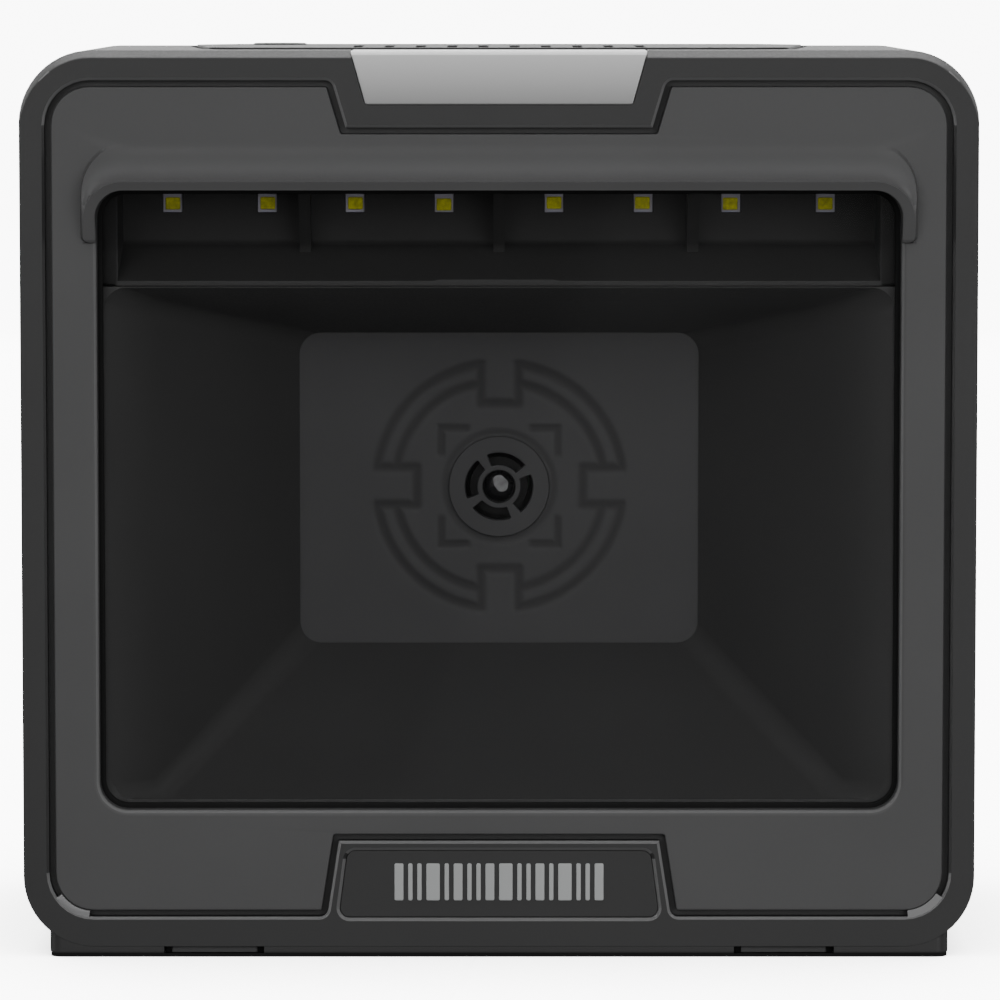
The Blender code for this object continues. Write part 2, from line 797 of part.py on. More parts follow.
def tunnel_ring(section, wall=0.0):
    half_width, low, high, radius, depth = section
    return in_plane(rounded(grown(box_corners(half_width, low, high, radius), wall)), depth)


def light_tunnel():
    """The black funnel between the scan window and the camera, with a flange at each end."""
    front_back = TUNNEL_FRONT[4] + TUNNEL_FLANGE
    rear_front = TUNNEL_REAR[4] - TUNNEL_FLANGE
    front_flange = rounded(box_corners(70.2, 17.9, 105.65, 3.0))
    rear_flange = rounded(box_corners(BRACKET_HALF, *BRACKET_Z, 3.0))
    rings = [
        in_plane(front_flange, TUNNEL_FRONT[4]),
        in_plane(front_flange, front_back),
        tunnel_ring(between(TUNNEL_FRONT, TUNNEL_STEP, front_back), TUNNEL_WALL),
        tunnel_ring(TUNNEL_STEP, TUNNEL_WALL),
        tunnel_ring(between(TUNNEL_STEP, TUNNEL_REAR, rear_front), TUNNEL_WALL),
        in_plane(rear_flange, rear_front),
        in_plane(rear_flange, TUNNEL_REAR[4]),
        tunnel_ring(TUNNEL_REAR),
        tunnel_ring(TUNNEL_STEP),
        tunnel_ring(TUNNEL_FRONT),
    ]
    return loft("light_tunnel", "black_plastic", rings, capped=False)


def led_shroud():
    """The pocket over the tunnel that shades the lamps, with three tapering dividers."""
    front, back, ceiling = at(SHROUD_FRONT), at(SHROUD_BACK), SHROUD_TOP - 1.3
    mouth, rear = at(SHROUD_FRONT - 2), at(SHROUD_BACK - 1.5)
    profile = [(front, 105.9), (back, 110.4), (back, SHROUD_TOP), (front, SHROUD_TOP)]
    hollow = [(mouth, 105.8), (rear, 111.8), (rear, ceiling), (mouth, ceiling)]
    rib = [(at(20.5), 111.4), (at(17.0), 110.4), (at(9.0), ceiling + 0.3), (at(20.5), ceiling + 0.3)]
    shroud = prism("led_shroud", "black_plastic", profile, -SHROUD_HALF, SHROUD_HALF, "X")
    cut(shroud, cutter_prism("shroud_hollow", hollow, -POCKET_HALF, POCKET_HALF, "X"))
    for index, x in enumerate(DIVIDER_X):
        half = DIVIDER_WIDTH / 2
        join(shroud, cutter_prism(f"divider_{index}", rib, x - half, x + half, "X"))
    for word, inner, outer in (("left", -70.2, 0.8 - SHROUD_HALF), ("right", SHROUD_HALF - 0.8, 70.2)):
        ear_low, ear_high = (inner, front, 106.0), (outer, at(SHROUD_FRONT + TUNNEL_FLANGE), 121.8)
        join(shroud, cutter_block("shroud_ear_" + word, ear_low, ear_high))
    half = LED_SIZE / 2 + GAP
    holes = [
        cutter_block("led_hole", (x - half, at(18.0), LED_Z - half), (x + half, at(23.0), LED_Z + half))
        for x in led_places()
    ]
    cut(shroud, merged("led_holes", holes))


def led_places():
    """The x of the eight lamps, from left to right."""
    return sorted([-x for x in LED_X] + list(LED_X))


def illumination():
    """The lamp board and its eight square LEDs, numbered from left to right."""
    board_front = at(SHROUD_BACK + GAP)
    block(
        "led_board",
        "black_board",
        (-LED_BOARD_HALF, board_front, 111.8),
        (LED_BOARD_HALF, board_front + BOARD_THICKNESS, SHROUD_TOP),
    )
    half = LED_SIZE / 2
    for index, x in enumerate(led_places()):
        block(
            f"illumination_led_{index + 1}",
            "led_white",
            (x - half, at(20.4), LED_Z - half),
            (x + half, board_front - 0.1, LED_Z + half),
        )


def arc_slot(inner, outer, start, sweep):
    """Outline of one arc-shaped opening round the camera's axis; angles in degrees."""
    steps = 5
    angles = [math.radians(start + sweep * step / steps) for step in range(steps + 1)]
    outside = [(outer * math.cos(a), CAMERA_Z + outer * math.sin(a)) for a in angles]
    inside = [(inner * math.cos(a), CAMERA_Z + inner * math.sin(a)) for a in reversed(angles)]
    return outside + inside


def camera_window():
    """The smoked window at the tunnel's end, with a hole for the aimer ring."""
    low, high = CAMERA_WINDOW_DEPTHS
    corners = box_corners(35.4, TUNNEL_REAR[1] - 2.6, TUNNEL_REAR[2] + 2.6, 4.0)
    window = prism("camera_window", "smoked_plastic", rounded(corners), at(low), at(high))
    hole = AIMER_RADIUS + GAP
    cut(window, cutter_cylinder("aimer_hole", hole, at(low - PAST), at(high + PAST), CAMERA_AXIS, "Y", 32))


def aimer_ring():
    """The disc round the camera's front glass, with four arc-shaped openings."""
    low, high = CAMERA_WINDOW_DEPTHS
    near, far = at(low - PAST), at(high + PAST)
    ring = cylinder(
        "aimer_ring", "smoked_plastic", AIMER_RADIUS, at(low + 0.2), at(high), CAMERA_AXIS, "Y", 32
    )
    openings = [
        cutter_prism(f"aimer_slot_{index}", arc_slot(3.6, 5.6, AIMER_START + 90 * index, AIMER_SWEEP), near, far)
        for index in range(4)
    ]
    openings.append(cutter_cylinder("aimer_bore", CAMERA_GLASS_RADIUS + GAP, near, far, CAMERA_AXIS, "Y", 20))
    cut(ring, merged("aimer_openings", openings))


def camera_bracket():
    """The plate behind the tunnel that carries the camera's board on two posts."""
    low, high = BRACKET_DEPTHS
    corners = box_corners(BRACKET_HALF, *BRACKET_Z, 3.0)
    bracket = prism("camera_bracket", "black_plastic", rounded(corners), at(low), at(high))
    posts = [(side * 14.0, CAMERA_Z) for side in (-1, 1)]
    post_end = at(CAMERA_BOARD_DEPTHS[0] - PART_GAP)
    join(bracket, pegs("bracket_posts", 2.2, at(high) - PAST, post_end, posts, segments=12))
    cut(bracket, cutter_cylinder("bracket_bore", 7.0, at(low - PAST), at(high + PAST), CAMERA_AXIS, "Y", 24))


def camera_module():
    """The camera itself: front glass, barrel, holder, sensor and board, front to back."""
    board_front = CAMERA_BOARD_DEPTHS[0] - PART_GAP
    glass_back = BRACKET_DEPTHS[0] + 0.1
    glass_front = at(glass_back - 1.5)
    cylinder(
        "lens_glass", "clear_glass", CAMERA_GLASS_RADIUS, glass_front, at(glass_back), CAMERA_AXIS, "Y"
    )
    barrel = cylinder(
        "lens_barrel", "black_plastic", BARREL_RADIUS, at(glass_back + 0.2), at(61.5), CAMERA_AXIS, "Y", 24
    )
    cut(barrel, cutter_cylinder("barrel_bore", 2.6, at(45.0), at(65.0), CAMERA_AXIS, "Y", 20))
    outer, well = HOLDER_HALF, HOLDER_HALF - 2.0
    holder = block(
        "lens_holder",
        "black_plastic",
        (-outer, at(55.5), CAMERA_Z - outer),
        (outer, at(board_front), CAMERA_Z + outer),
    )
    cut(
        holder,
        cutter_cylinder("holder_bore", BARREL_RADIUS + GAP, at(50.0), at(62.5), CAMERA_AXIS, "Y", 24),
        cutter_block("holder_well", (-well, at(61.8), CAMERA_Z - well), (well, at(70.0), CAMERA_Z + well)),
    )
    block(
        "image_sensor",
        "chip_black",
        (-4.5, at(board_front - 1.05), CAMERA_Z - 4.0),
        (4.5, at(board_front), CAMERA_Z + 4.0),
    )
    block(
        "camera_board",
        "circuit_board",
        (-18.0, at(CAMERA_BOARD_DEPTHS[0]), CAMERA_Z - 16.0),
        (18.0, at(CAMERA_BOARD_DEPTHS[1]), CAMERA_Z + 14.0),
    )


def ribbon(name, centre_line, low_x, high_x):
    """A flat cable: a line of (y, z) points given thickness, from low_x to high_x."""
    left, right = [], []
    for index, (y, z) in enumerate(centre_line):
        before = Vector(centre_line[max(0, index - 1)])
        after = Vector(centre_line[min(len(centre_line) - 1, index + 1)])
        across = (after - before).normalized() * RIBBON_THICKNESS / 2
        left.append((y - across.y, z + across.x))
        right.append((y + across.y, z - across.x))
    prism(name, "ribbon_white", left + right[::-1], low_x, high_x, "X")


def bent(points):
    """A line of (y, z) points with its inner corners rounded."""
    last = len(points) - 1
    return rounded([(u, v, RIBBON_BEND if 0 < index < last else 0) for index, (u, v) in enumerate(points)])


def flat_cables():
    """The camera's and the lamps' flat cables, both ending just above the main board."""
    board_top = MAIN_BOARD_Z[1] + GAP
    behind_board = at(CAMERA_BOARD_DEPTHS[1] + 0.6)
    camera = [(behind_board, 62.8), (behind_board, 34.0), (at(54.0), 24.0), (at(54.0), board_top)]
    ribbon("camera_ffc", bent(camera), 9.5, 17.5)
    lamp = [(at(24.0), LED_Z), (at(57.0), LED_Z), (at(57.0), board_top)]
    ribbon("led_ffc", bent(lamp), 40.5, 46.5)


# Electronics ---------------------------------------------------------------------------------


def main_electronics():
    """The main board on its posts with a processor and a shielding can, and the steel ballast."""
    low, high = MAIN_BOARD_Z
    near, far = at(MAIN_BOARD_DEPTHS[0]), at(MAIN_BOARD_DEPTHS[1])
    board = [
        (-MAIN_BOARD_HALF, near, 1.5),
        (MAIN_BOARD_HALF, near, 1.5),
        (MAIN_BOARD_HALF, far, 1.5),
        (-MAIN_BOARD_HALF, far, 1.5),
    ]
    prism("main_board", "circuit_board", rounded(board), low, high, "Z")
    block("processor_chip", "chip_black", (-28.0, at(52.0), high + 0.1), (-14.0, at(66.0), high + 1.5))
    block("shield_can", "steel", (-42.0, at(34.0), high + 0.1), (-20.0, at(48.0), high + 2.6))
    block(
        "ballast_plate",
        "steel",
        (-MAIN_BOARD_HALF, at(9.0), CAVITY_BOTTOM + GAP),
        (MAIN_BOARD_HALF, at(19.0), 13.5),
    )


def host_jack():
    """The modular socket for the host cable, open to the back, with a way for the plug's latch."""
    near, far = at(JACK_DEPTHS[0]), at(JACK_DEPTHS[1])
    inner, past = at(JACK_DEPTHS[0] + 5.5), at(JACK_DEPTHS[1]) + PAST
    top = JACK_BOTTOM + JACK_HEIGHT
    jack = block("host_jack", "chip_black", (-JACK_HALF, near, JACK_BOTTOM), (JACK_HALF, far, top))
    bay_low, bay_high = (-5.95, inner, JACK_BOTTOM + 2.0), (5.95, past, JACK_BOTTOM + 9.0)
    latch_low, latch_high = (-3.1, inner, JACK_BOTTOM + 8.0), (3.1, past, JACK_BOTTOM + 11.5)
    cut(jack, cutter_block("jack_bay", bay_low, bay_high), cutter_block("jack_latch", latch_low, latch_high))


def speaker_parts():
    """The speaker under the slots, its foam ring, and the bridge that holds it up."""
    centre = (0, at(SPEAKER_DEPTH))
    low, high = SPEAKER_Z
    frame = cylinder("speaker", "chip_black", SPEAKER_RADIUS, low, high, centre, segments=32)
    join(frame, cutter_cylinder("speaker_magnet", 9.0, low - 4.6, low + 0.8, centre, segments=24))
    cut(frame, cutter_cylinder("speaker_bowl", 7.0, low + 2.0, high + 0.6, centre, segments=32, tip=15.8))
    cylinder("speaker_cone", "speaker_cone", 6.4, low + 2.4, low + 3.8, centre, segments=24, tip=8.6)
    foam_low, foam_high = high + PART_GAP, CAVITY_TOP - PART_GAP
    foam = cylinder("speaker_gasket", "black_rubber", 16.8, foam_low, foam_high, centre, segments=32)
    cut(foam, cutter_cylinder("gasket_hole", 14.6, high - PAST, CAVITY_TOP + PAST, centre, segments=32))
    bridge_low, bridge_high = BRIDGE_Z
    bridge = block(
        "speaker_bracket",
        "black_plastic",
        (-BRIDGE_LEG_X - 4.0, at(SPEAKER_DEPTH - 5.0), bridge_low),
        (BRIDGE_LEG_X + 4.0, at(SPEAKER_DEPTH + 5.0), bridge_high),
    )
    legs = [(side * BRIDGE_LEG_X, at(SPEAKER_DEPTH)) for side in (-1, 1)]
    join(bridge, pegs("bridge_legs", 3.0, bridge_high - 0.8, CAVITY_TOP - PART_GAP, legs, "Z", 12))


def indicator_parts():
    """The lamp board behind the indicator lens, with three LEDs on it."""
    board_front = at(7.2)
    block(
        "indicator_board",
        "circuit_board",
        (-18.5, board_front, 125.6),
        (18.5, board_front + BOARD_THICKNESS, CAVITY_TOP + 0.2),
    )
    for index, x in enumerate((-12.0, 0.0, 12.0)):
        lamp_low, lamp_high = (x - 1.75, board_front - 1.8, 135.4), (x + 1.75, board_front - 0.1, 138.6)
        block(f"indicator_led_{index + 1}", "led_white", lamp_low, lamp_high)


def top_button():
    """The round button, retained by a flange under the panel, and the switch that it presses."""
    place = (BUTTON_X, at(BUTTON_DEPTH))
    flange_low, flange_high = CAVITY_TOP + 0.2, PANEL_BOTTOM - GAP
    plunger_top = flange_low - 1.3
    button = cylinder(
        "top_button", "charcoal_plastic", BUTTON_RADIUS, flange_low + 0.5, BUTTON_TOP, place, segments=32
    )
    join(
        button,
        cutter_cylinder("button_flange", BUTTON_FLANGE_RADIUS, flange_low, flange_high, place, segments=32),
        cutter_cylinder("button_stem", 1.6, plunger_top + 0.1, flange_low + 0.6, place, segments=12),
    )
    cylinder("switch_plunger", "led_white", 1.7, plunger_top - 2.5, plunger_top, place, segments=16)
    half = 3.0
    switch = block(
        "switch_body",
        "chip_black",
        (BUTTON_X - half, at(BUTTON_DEPTH) - half, SWITCH_Z[0]),
        (BUTTON_X + half, at(BUTTON_DEPTH) + half, SWITCH_Z[1]),
    )
    bore_bottom = plunger_top - 3.3
    cut(switch, cutter_cylinder("switch_bore", 2.0, bore_bottom, SWITCH_Z[1] + PAST, place, segments=16))


def control_parts():
    """The board under the top panel, and the light guide for the six status lights."""
    low, high = CONTROL_BOARD_Z
    block("control_board", "circuit_board", (-44.0, at(50.5), low), (44.0, at(62.0), high))
    guide_top = CAVITY_TOP + 0.7
    guide = block(
        "status_light_pipe",
        "frosted_plastic",
        (STATUS_X[0] - 1.0, at(BUTTON_DEPTH - 1.2), guide_top - 1.5),
        (STATUS_X[-1] + 1.0, at(BUTTON_DEPTH + 1.2), guide_top),
    )
    lights = [(x, at(BUTTON_DEPTH)) for x in STATUS_X]
    join(guide, pegs("status_pins", STATUS_RADIUS - 0.25, guide_top - 0.7, PANEL_TOP, lights, "Z", 8))


# Fasteners -----------------------------------------------------------------------------------


def socket_screw(name, place, axis, head, shank, socket):
    """A screw from three (radius, low, high) cylinders: its head, its shank and the socket in its head."""
    screw = cylinder(name, "steel", *head, place, axis, 16)
    join(screw, cutter_cylinder(name + "_shank", *shank, place, axis, 10))
    cut(screw, cutter_cylinder(name + "_socket", *socket, place, axis, 6))


def case_screws():
    """Four long screws through the back wall's posts into the bezel's posts."""
    seat = at(CASE_HEAD_SEAT + PART_GAP)
    for index, place in enumerate(case_post_places()):
        head = (2.7, seat, seat + 1.55)
        shank = (1.4, at(26.0), seat + 0.45)
        socket = (1.3, seat + 0.75, seat + 1.55 + PAST)
        socket_screw(f"case_screw_{index + 1}", place, "Y", head, shank, socket)


def base_screws():
    """Four short screws through the base plate into the floor's bosses."""
    seat = BASE_HEAD_SEAT - PART_GAP
    for index, place in enumerate(base_screw_places()):
        head = (2.4, seat - 1.25, seat)
        shank = (1.2, seat - 0.25, 9.0)
        socket = (1.2, seat - 1.25 - PAST, seat - 0.55)
        socket_screw(f"base_screw_{index + 1}", place, "Z", head, shank, socket)


clear_scene()
PARTS = collection("presentation_barcode_scanner")
CUTTERS = collection("cutters")
SURFACES = {name: make_material(name) for name in MATERIALS}
rear_housing()
front_bezel()
fascia_panel()
indicator_lens()
badge_plate()
top_panel()
base_plate()
feet()
window_parts()
light_tunnel()
led_shroud()
illumination()
camera_window()
aimer_ring()
camera_bracket()
camera_module()
flat_cables()
main_electronics()
host_jack()
speaker_parts()
indicator_parts()
top_button()
control_parts()
case_screws()
base_screws()
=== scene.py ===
"""The looks of a counter-top presentation barcode scanner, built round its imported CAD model.

Sizes here are in millimetres, and the helpers turn them into metres. +Z is up and the scan window
faces -Y. Depths are measured backwards from the bezel's front face, so `at(depth)` is a Y
coordinate.
"""

import math
import random

import bmesh
import bpy
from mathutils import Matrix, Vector
from mathutils.geometry import tessellate_polygon


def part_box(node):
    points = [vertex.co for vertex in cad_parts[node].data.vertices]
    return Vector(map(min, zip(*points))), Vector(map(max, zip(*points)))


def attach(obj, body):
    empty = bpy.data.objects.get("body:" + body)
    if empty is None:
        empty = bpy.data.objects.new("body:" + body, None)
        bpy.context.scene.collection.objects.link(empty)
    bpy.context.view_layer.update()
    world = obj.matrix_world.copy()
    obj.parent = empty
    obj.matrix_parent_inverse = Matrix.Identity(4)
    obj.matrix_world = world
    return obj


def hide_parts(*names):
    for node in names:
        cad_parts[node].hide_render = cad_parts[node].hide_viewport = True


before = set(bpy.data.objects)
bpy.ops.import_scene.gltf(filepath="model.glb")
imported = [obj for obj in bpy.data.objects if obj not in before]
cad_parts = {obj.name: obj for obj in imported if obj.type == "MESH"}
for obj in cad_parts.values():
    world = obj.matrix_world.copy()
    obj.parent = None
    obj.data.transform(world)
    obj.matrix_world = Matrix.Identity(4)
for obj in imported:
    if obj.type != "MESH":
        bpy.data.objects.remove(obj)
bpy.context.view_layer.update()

MM = 0.001


def extent(node):
    """A CAD node's lowest and highest corner, in millimetres."""
    low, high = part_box(node)
    return low / MM, high / MM


# Sizes ---------------------------------------------------------------------------------------

BEZEL = extent("front_bezel")
HOUSING = extent("rear_housing")
FASCIA = extent("fascia_panel")
GLASS = extent("scan_window")
SMOKED = extent("camera_window")
LENS = extent("indicator_lens")
BADGE = extent("badge_plate")
PANEL = extent("top_panel")
BUTTON = extent("top_button")
FRONT = BEZEL[0].y

# Casing
BODY_CORNER = 11.2
BEZEL_WALL = 2.2
LEDGE_BACK = 5.8
LEDGE_OPENING = (66.0, 20.8, 124.1, 3.0)
GAP = 0.3
HAIRLINE = 0.06
HOUSING_WALL = 2.5
SEAM = 12.0
CAVITY_CORNER = 8.7
CAVITY_BOTTOM = 6.2
CAVITY_TOP = 139.8
TONGUE_OUT = 2.4
TONGUE_IN = 3.7
TONGUE_FRONT = 8.0
TONGUE_BACK = 16.0
TOP_CHAMFER = ((0.0, 3.2), (0.12, 2.5), (0.98, 0.3), (1.15, 0.07), (1.22, 0.0))
TOP_CHAMFER_FADES = (126.0, 141.0)
LOWER_ROUNDING = 0.06
REAR_ROUNDING = 6.0

# Fascia and the groove round it
FASCIA_CORNER = 6.0
FASCIA_HALF = FASCIA[1].x - 0.5
FASCIA_FRONT = 0.3
FASCIA_BACK = 2.6
LOWER_NOTCH = (28.0, 26.1, 19.5)
UPPER_NOTCH = (26.9, 24.7, 129.8)
NOTCH_EDGE = 0.4
GROOVE_WIDTH = 1.0
GROOVE_DEPTH = 2.3
GROOVE_CHAMFER = 0.42
GLINT_TURNS = (34.0, 84.0)
# Where the groove's chamfer gets its painted highlight
HIGHLIGHT_LEAN = (0.3, 0.95)
HIGHLIGHT_HALF = 71.5
HIGHLIGHT_Z = (3.5, 139.5)
STRAIGHT_Z = (14.0, 126.0)
FASCIA_SEAT = 2.9

# Window and its visor
GLASS_OVERLAP = 2.0
WINDOW_HALF = GLASS[1].x - GLASS_OVERLAP
WINDOW_BOTTOM = GLASS[0].z + GLASS_OVERLAP
WINDOW_TOP = GLASS[1].z - GLASS_OVERLAP
WINDOW_CORNER = 4.5
WINDOW_ROUNDING = 0.8
VISOR_END = 112.9
VISOR_END_REACH = 0.9
VISOR_REACH = 6.0
VISOR_LIP_TOP = 122.5
VISOR_SIDE_LIP = 1.9
VISOR_FOOT = 0.6
VISOR_SWEEP = 5.4
VISOR_CORNER = 1.0
VISOR_WALL = 0.5
VISOR_ROUNDING = 0.3

# Lamp cover and badge
LENS_BOTTOM_HALF = 20.9
LENS_SLOPE = 0.277
LENS_BACK = 10.0
LENS_FACE = 2.3
LENS_ROUNDING = 0.9
LAMP_PAINTED_SHADES = (0.30, 0.73)
LAMP_TOP_HIGHLIGHT = 0.36
BADGE_HALVES = (25.3, 23.9)
BADGE_CORNER = 1.5
BADGE_SEAT = 1.7
BADGE_CHAMFER = 0.5
BADGE_PAST = 0.2
BADGE_BARS = (2, 1, 1, 3, 1, 2, 1, 1, 2, 3, 1, 1, 2, 1, 3, 1, 1, 2)
BADGE_BARS_HALF = 16.5
BADGE_BARS_Z = (9.0, 14.9)

# Top panel
SLOT_COUNT = 10
SLOT_PITCH = 5.07
SLOT_WIDTH = 1.6
SLOT_DEPTHS = (17.0, 45.0)
PANEL_GAP = 1.1
BUTTON_X = -36.2
BUTTON_DEPTH = 56.0
BUTTON_RADIUS = 4.6
STATUS_X = (29.7, 32.4, 35.7, 38.6, 40.6, 42.6)
STATUS_RADIUS = 0.75

# Base
BASE_SEAM = 0.01
BASE_FRONT = 0.05
BASE_UNDERSIDE = 0.5
FOOT_GAP = 1.1
FEET = ("foot_front_left", "foot_front_right", "foot_rear_left", "foot_rear_right")

# Light tunnel: half width, lowest and highest z, corner radius and depth of each section
TUNNEL_FRONT = (62.3, 23.25, 104.3, 3.6, 6.1)
TUNNEL_STEP = (55.1, 23.25, 102.7, 3.4, 14.0)
TUNNEL_REAR = (32.9, 44.5, 95.9, 3.6, 47.7)
TUNNEL_WALL = 1.2
TUNNEL_FLANGE = 1.6

# Illumination
LED_X = (8.76, 23.0, 37.0, 52.1)
LED_Z = 118.3
LED_HOLE = 3.16
SHROUD_DEPTHS = (6.1, 21.5)
SHROUD_TOP = 123.4
POCKET_HALF = 60.0
POCKET_CEILING = 122.1
DIVIDER_X = (-30.8, 0.0, 30.8)
DIVIDER_WIDTH = 1.8

# Camera and its aiming ring
CAMERA_Z = 70.4
LENS_GLINT_OUTLINE = ((-0.95, 0.95), (0.05, 1.15), (1.05, 0.2), (0.85, -0.95), (0.0, -1.1), (-0.75, -0.2))
AIMER_RADIUS = 8.3
AIMER_START = 39.5
AIMER_SWEEP = 71.0
RELIEF_RADIUS = 22.0
RELIEF_DEPTH = 0.16

# The picture's camera, and what lights the scanner or is mirrored in its glass; lights in metres
VIEW_AIM = Vector((0.157, FRONT, 72.5))
VIEW_DISTANCE = 900.0
VIEW_ELEVATION = 5.15
VIEW_LENS = 206.6
LIGHT_AIM = (0, -0.03, 0.07)
CARD_Y = -1.537


def at(depth):
    """The Y coordinate of a point this far behind the bezel's front face."""
    return FRONT + depth


# Outlines ------------------------------------------------------------------------------------


def rounded(corners, steps=8):
    """The outline through corners (u, v, radius), each one rounded by an arc."""
    points = []
    for index, (u, v, radius) in enumerate(corners):
        if radius <= 0:
            points.append((u, v))
            continue
        here = Vector((u, v))
        back = (Vector(corners[index - 1][:2]) - here).normalized()
        ahead = (Vector(corners[(index + 1) % len(corners)][:2]) - here).normalized()
        half = back.angle(ahead) / 2
        reach = radius / math.tan(half)
        centre = here + (back + ahead).normalized() * radius / math.sin(half)
        first = here + back * reach - centre
        last = here + ahead * reach - centre
        sweep = math.atan2(first.x * last.y - first.y * last.x, first.dot(last))
        for step in range(steps + 1):
            turn = sweep * step / steps
            cosine, sine = math.cos(turn), math.sin(turn)
            u_turned = centre.x + first.x * cosine - first.y * sine
            v_turned = centre.y + first.x * sine + first.y * cosine
            points.append((u_turned, v_turned))
    return points


def grown(corners, grow):
    """Anticlockwise corners (u, v, radius) with every edge moved outwards by `grow`."""
    made = []
    for index, (u, v, radius) in enumerate(corners):
        here = Vector((u, v))
        coming = (here - Vector(corners[index - 1][:2])).normalized()
        going = (Vector(corners[(index + 1) % len(corners)][:2]) - here).normalized()
        normal_in = Vector((coming.y, -coming.x))
        normal_out = Vector((going.y, -going.x))
        corner = here + (normal_in + normal_out) * grow / (1 + normal_in.dot(normal_out))
        convex = coming.x * going.y - coming.y * going.x > 0
        made.append((corner.x, corner.y, max(0.05, radius + (grow if convex else -grow))))
    return made


def rectangle(left, right, low, high, radius):
    return [(left, low, radius), (right, low, radius), (right, high, radius), (left, high, radius)]


def box_corners(half_width, low, high, radius, centre=0.0):
    """Corners of a rectangle, from v = low to v = high."""
    return rectangle(centre - half_width, centre + half_width, low, high, radius)


def round_corners(u, v, radius):
    """A circle, as a square whose corners are rounded all the way."""
    return box_corners(radius, v - radius, v + radius, radius * 0.998, u)


def body_corners():
    return box_corners(BEZEL[1].x, BEZEL[0].z, BEZEL[1].z, BODY_CORNER)


def window_corners():
    return box_corners(WINDOW_HALF, WINDOW_BOTTOM, WINDOW_TOP, WINDOW_CORNER)


def mirrored(right):
    """An anticlockwise outline from its right half's corners, with the left half put first."""
    return [(-u, v, radius) for u, v, radius in reversed(right)] + right


def lens_corners(top):
    """The lamp cover from the front: a trapezoid, wider towards the scanner's top edge."""
    bottom = LENS[0].z
    half = LENS_BOTTOM_HALF + LENS_SLOPE * (top - bottom)
    wide, narrow = (half, top, 0.05), (LENS_BOTTOM_HALF, bottom, 0.8)
    return turned_to(mirrored([narrow, wide]), 1)


def badge_corners():
    lower, upper = BADGE_HALVES
    corners = mirrored([(lower, BADGE[0].z, BADGE_CORNER), (upper, BADGE[1].z, BADGE_CORNER)])
    return turned_to(corners, 1)


def turned_to(corners, first):
    """The same outline, begun at another corner."""
    return corners[first:] + corners[:first]


def panel_corners():
    """The top panel in plan: rounded front corners, and sides that spread towards the back."""
    right = [(45.6, at(13.5), 6.0), (50.3, at(60.0), 8.0), (43.0, at(70.0), 6.0)]
    return turned_to(mirrored(right), 2)


def fascia_corners():
    """The fascia's edge: a rounded square, stepped round the badge below and the lamp above."""
    lower_wide, lower_narrow, lower_z = LOWER_NOTCH
    upper_wide, upper_narrow, upper_z = UPPER_NOTCH
    low, high = FASCIA[0].z, FASCIA[1].z
    right = [
        (lower_narrow, lower_z, NOTCH_EDGE),
        (lower_wide, low, NOTCH_EDGE),
        (FASCIA_HALF, low, FASCIA_CORNER),
        (FASCIA_HALF, high, FASCIA_CORNER),
        (upper_wide, high, NOTCH_EDGE),
        (upper_narrow, upper_z, NOTCH_EDGE),
    ]
    return turned_to(mirrored(right), 3)


# Meshes --------------------------------------------------------------------------------------

PLACES = {
    "X": lambda u, v, w: (w, u, v),
    "Y": lambda u, v, w: (u, w, v),
    "Z": lambda u, v, w: (u, v, w),
}


def placed(name, data):
    """An object in the scene for a mesh, a light or a camera."""
    obj = bpy.data.objects.new(name, data)
    bpy.context.scene.collection.objects.link(obj)
    return obj


def piece(name, mesh, surface, nodes=(), body="housing", sharp=32):
    """Places a mesh whose points are in the frame's place, gives it its surface, hangs it on its body and
    hides the CAD nodes that it stands for.
    """
    obj = placed(name, mesh)
    finish_mesh(obj, SURFACES[surface], sharp)
    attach(obj, body)
    if nodes:
        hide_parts(*nodes)


def finish_mesh(obj, material, sharp=32):
    """Smooth shading that keeps sharp edges and flat faces."""
    mesh = obj.data
    mesh.materials.clear()
    mesh.materials.append(material)
    mesh.shade_smooth()
    mesh.set_sharp_from_angle(angle=math.radians(sharp))
    weighted = obj.modifiers.new("even_normals", "WEIGHTED_NORMAL")
    weighted.keep_sharp = True


class Shape:
    """A closed mesh of strips between rings of points, and of flat caps."""

    def __init__(self, axis="Y"):
        self.axis = axis
        self.points = []
        self.flat = []
        self.faces = []

    def free_ring(self, points):
        """Adds (u, v, w) points, w being along the axis, and returns their numbers."""
        first = len(self.points)
        self.points += [PLACES[self.axis](u, v, w) for u, v, w in points]
        self.flat += [(u, v, 0) for u, v, _ in points]
        return list(range(first, len(self.points)))

    def ring(self, outline, w):
        """Adds an outline's (u, v) points at one w."""
        return self.free_ring([(u, v, w) for u, v in outline])

    def rings(self, corners, places, steps=8):
        """Adds one outline several times, each time moved outwards by so much and at another w."""
        return [self.ring(rounded(grown(corners, out), steps), w) for out, w in places]

    def strip(self, *rings):
        """Joins rings of equally many points, one after another."""
        for ring, following in zip(rings, rings[1:]):
            for index, point in enumerate(ring):
                nearby = (index + 1) % len(ring)
                self.faces.append((point, ring[nearby], following[nearby], following[index]))

    def cap(self, *rings):
        """Fills a ring, less the rings that lie inside it."""
        loops = [[Vector(self.flat[index]) for index in ring] for ring in rings]
        numbers = [index for ring in rings for index in ring]
        for triangle in tessellate_polygon(loops):
            self.faces.append(tuple(numbers[corner] for corner in triangle))

    def mesh(self):
        bm = bmesh.new()
        verts = [bm.verts.new([c * MM for c in point]) for point in self.points]
        for face in self.faces:
            if len(set(face)) > 2:
                bm.faces.new([verts[index] for index in face])
        bmesh.ops.recalc_face_normals(bm, faces=bm.faces)
        return finished(bm)


def finished(bm):
    """A new mesh from a bmesh, which is freed."""
    made = bpy.data.meshes.new("mesh")
    bm.to_mesh(made)
    bm.free()
    return made


def round_edge(radius, steps=4):
    """(inset, drop) pairs of a rounded edge, from the side to the face."""
    turns = [math.pi / 2 * step / steps for step in range(steps + 1)]
    return [(radius * (1 - math.cos(turn)), radius * (1 - math.sin(turn))) for turn in turns]


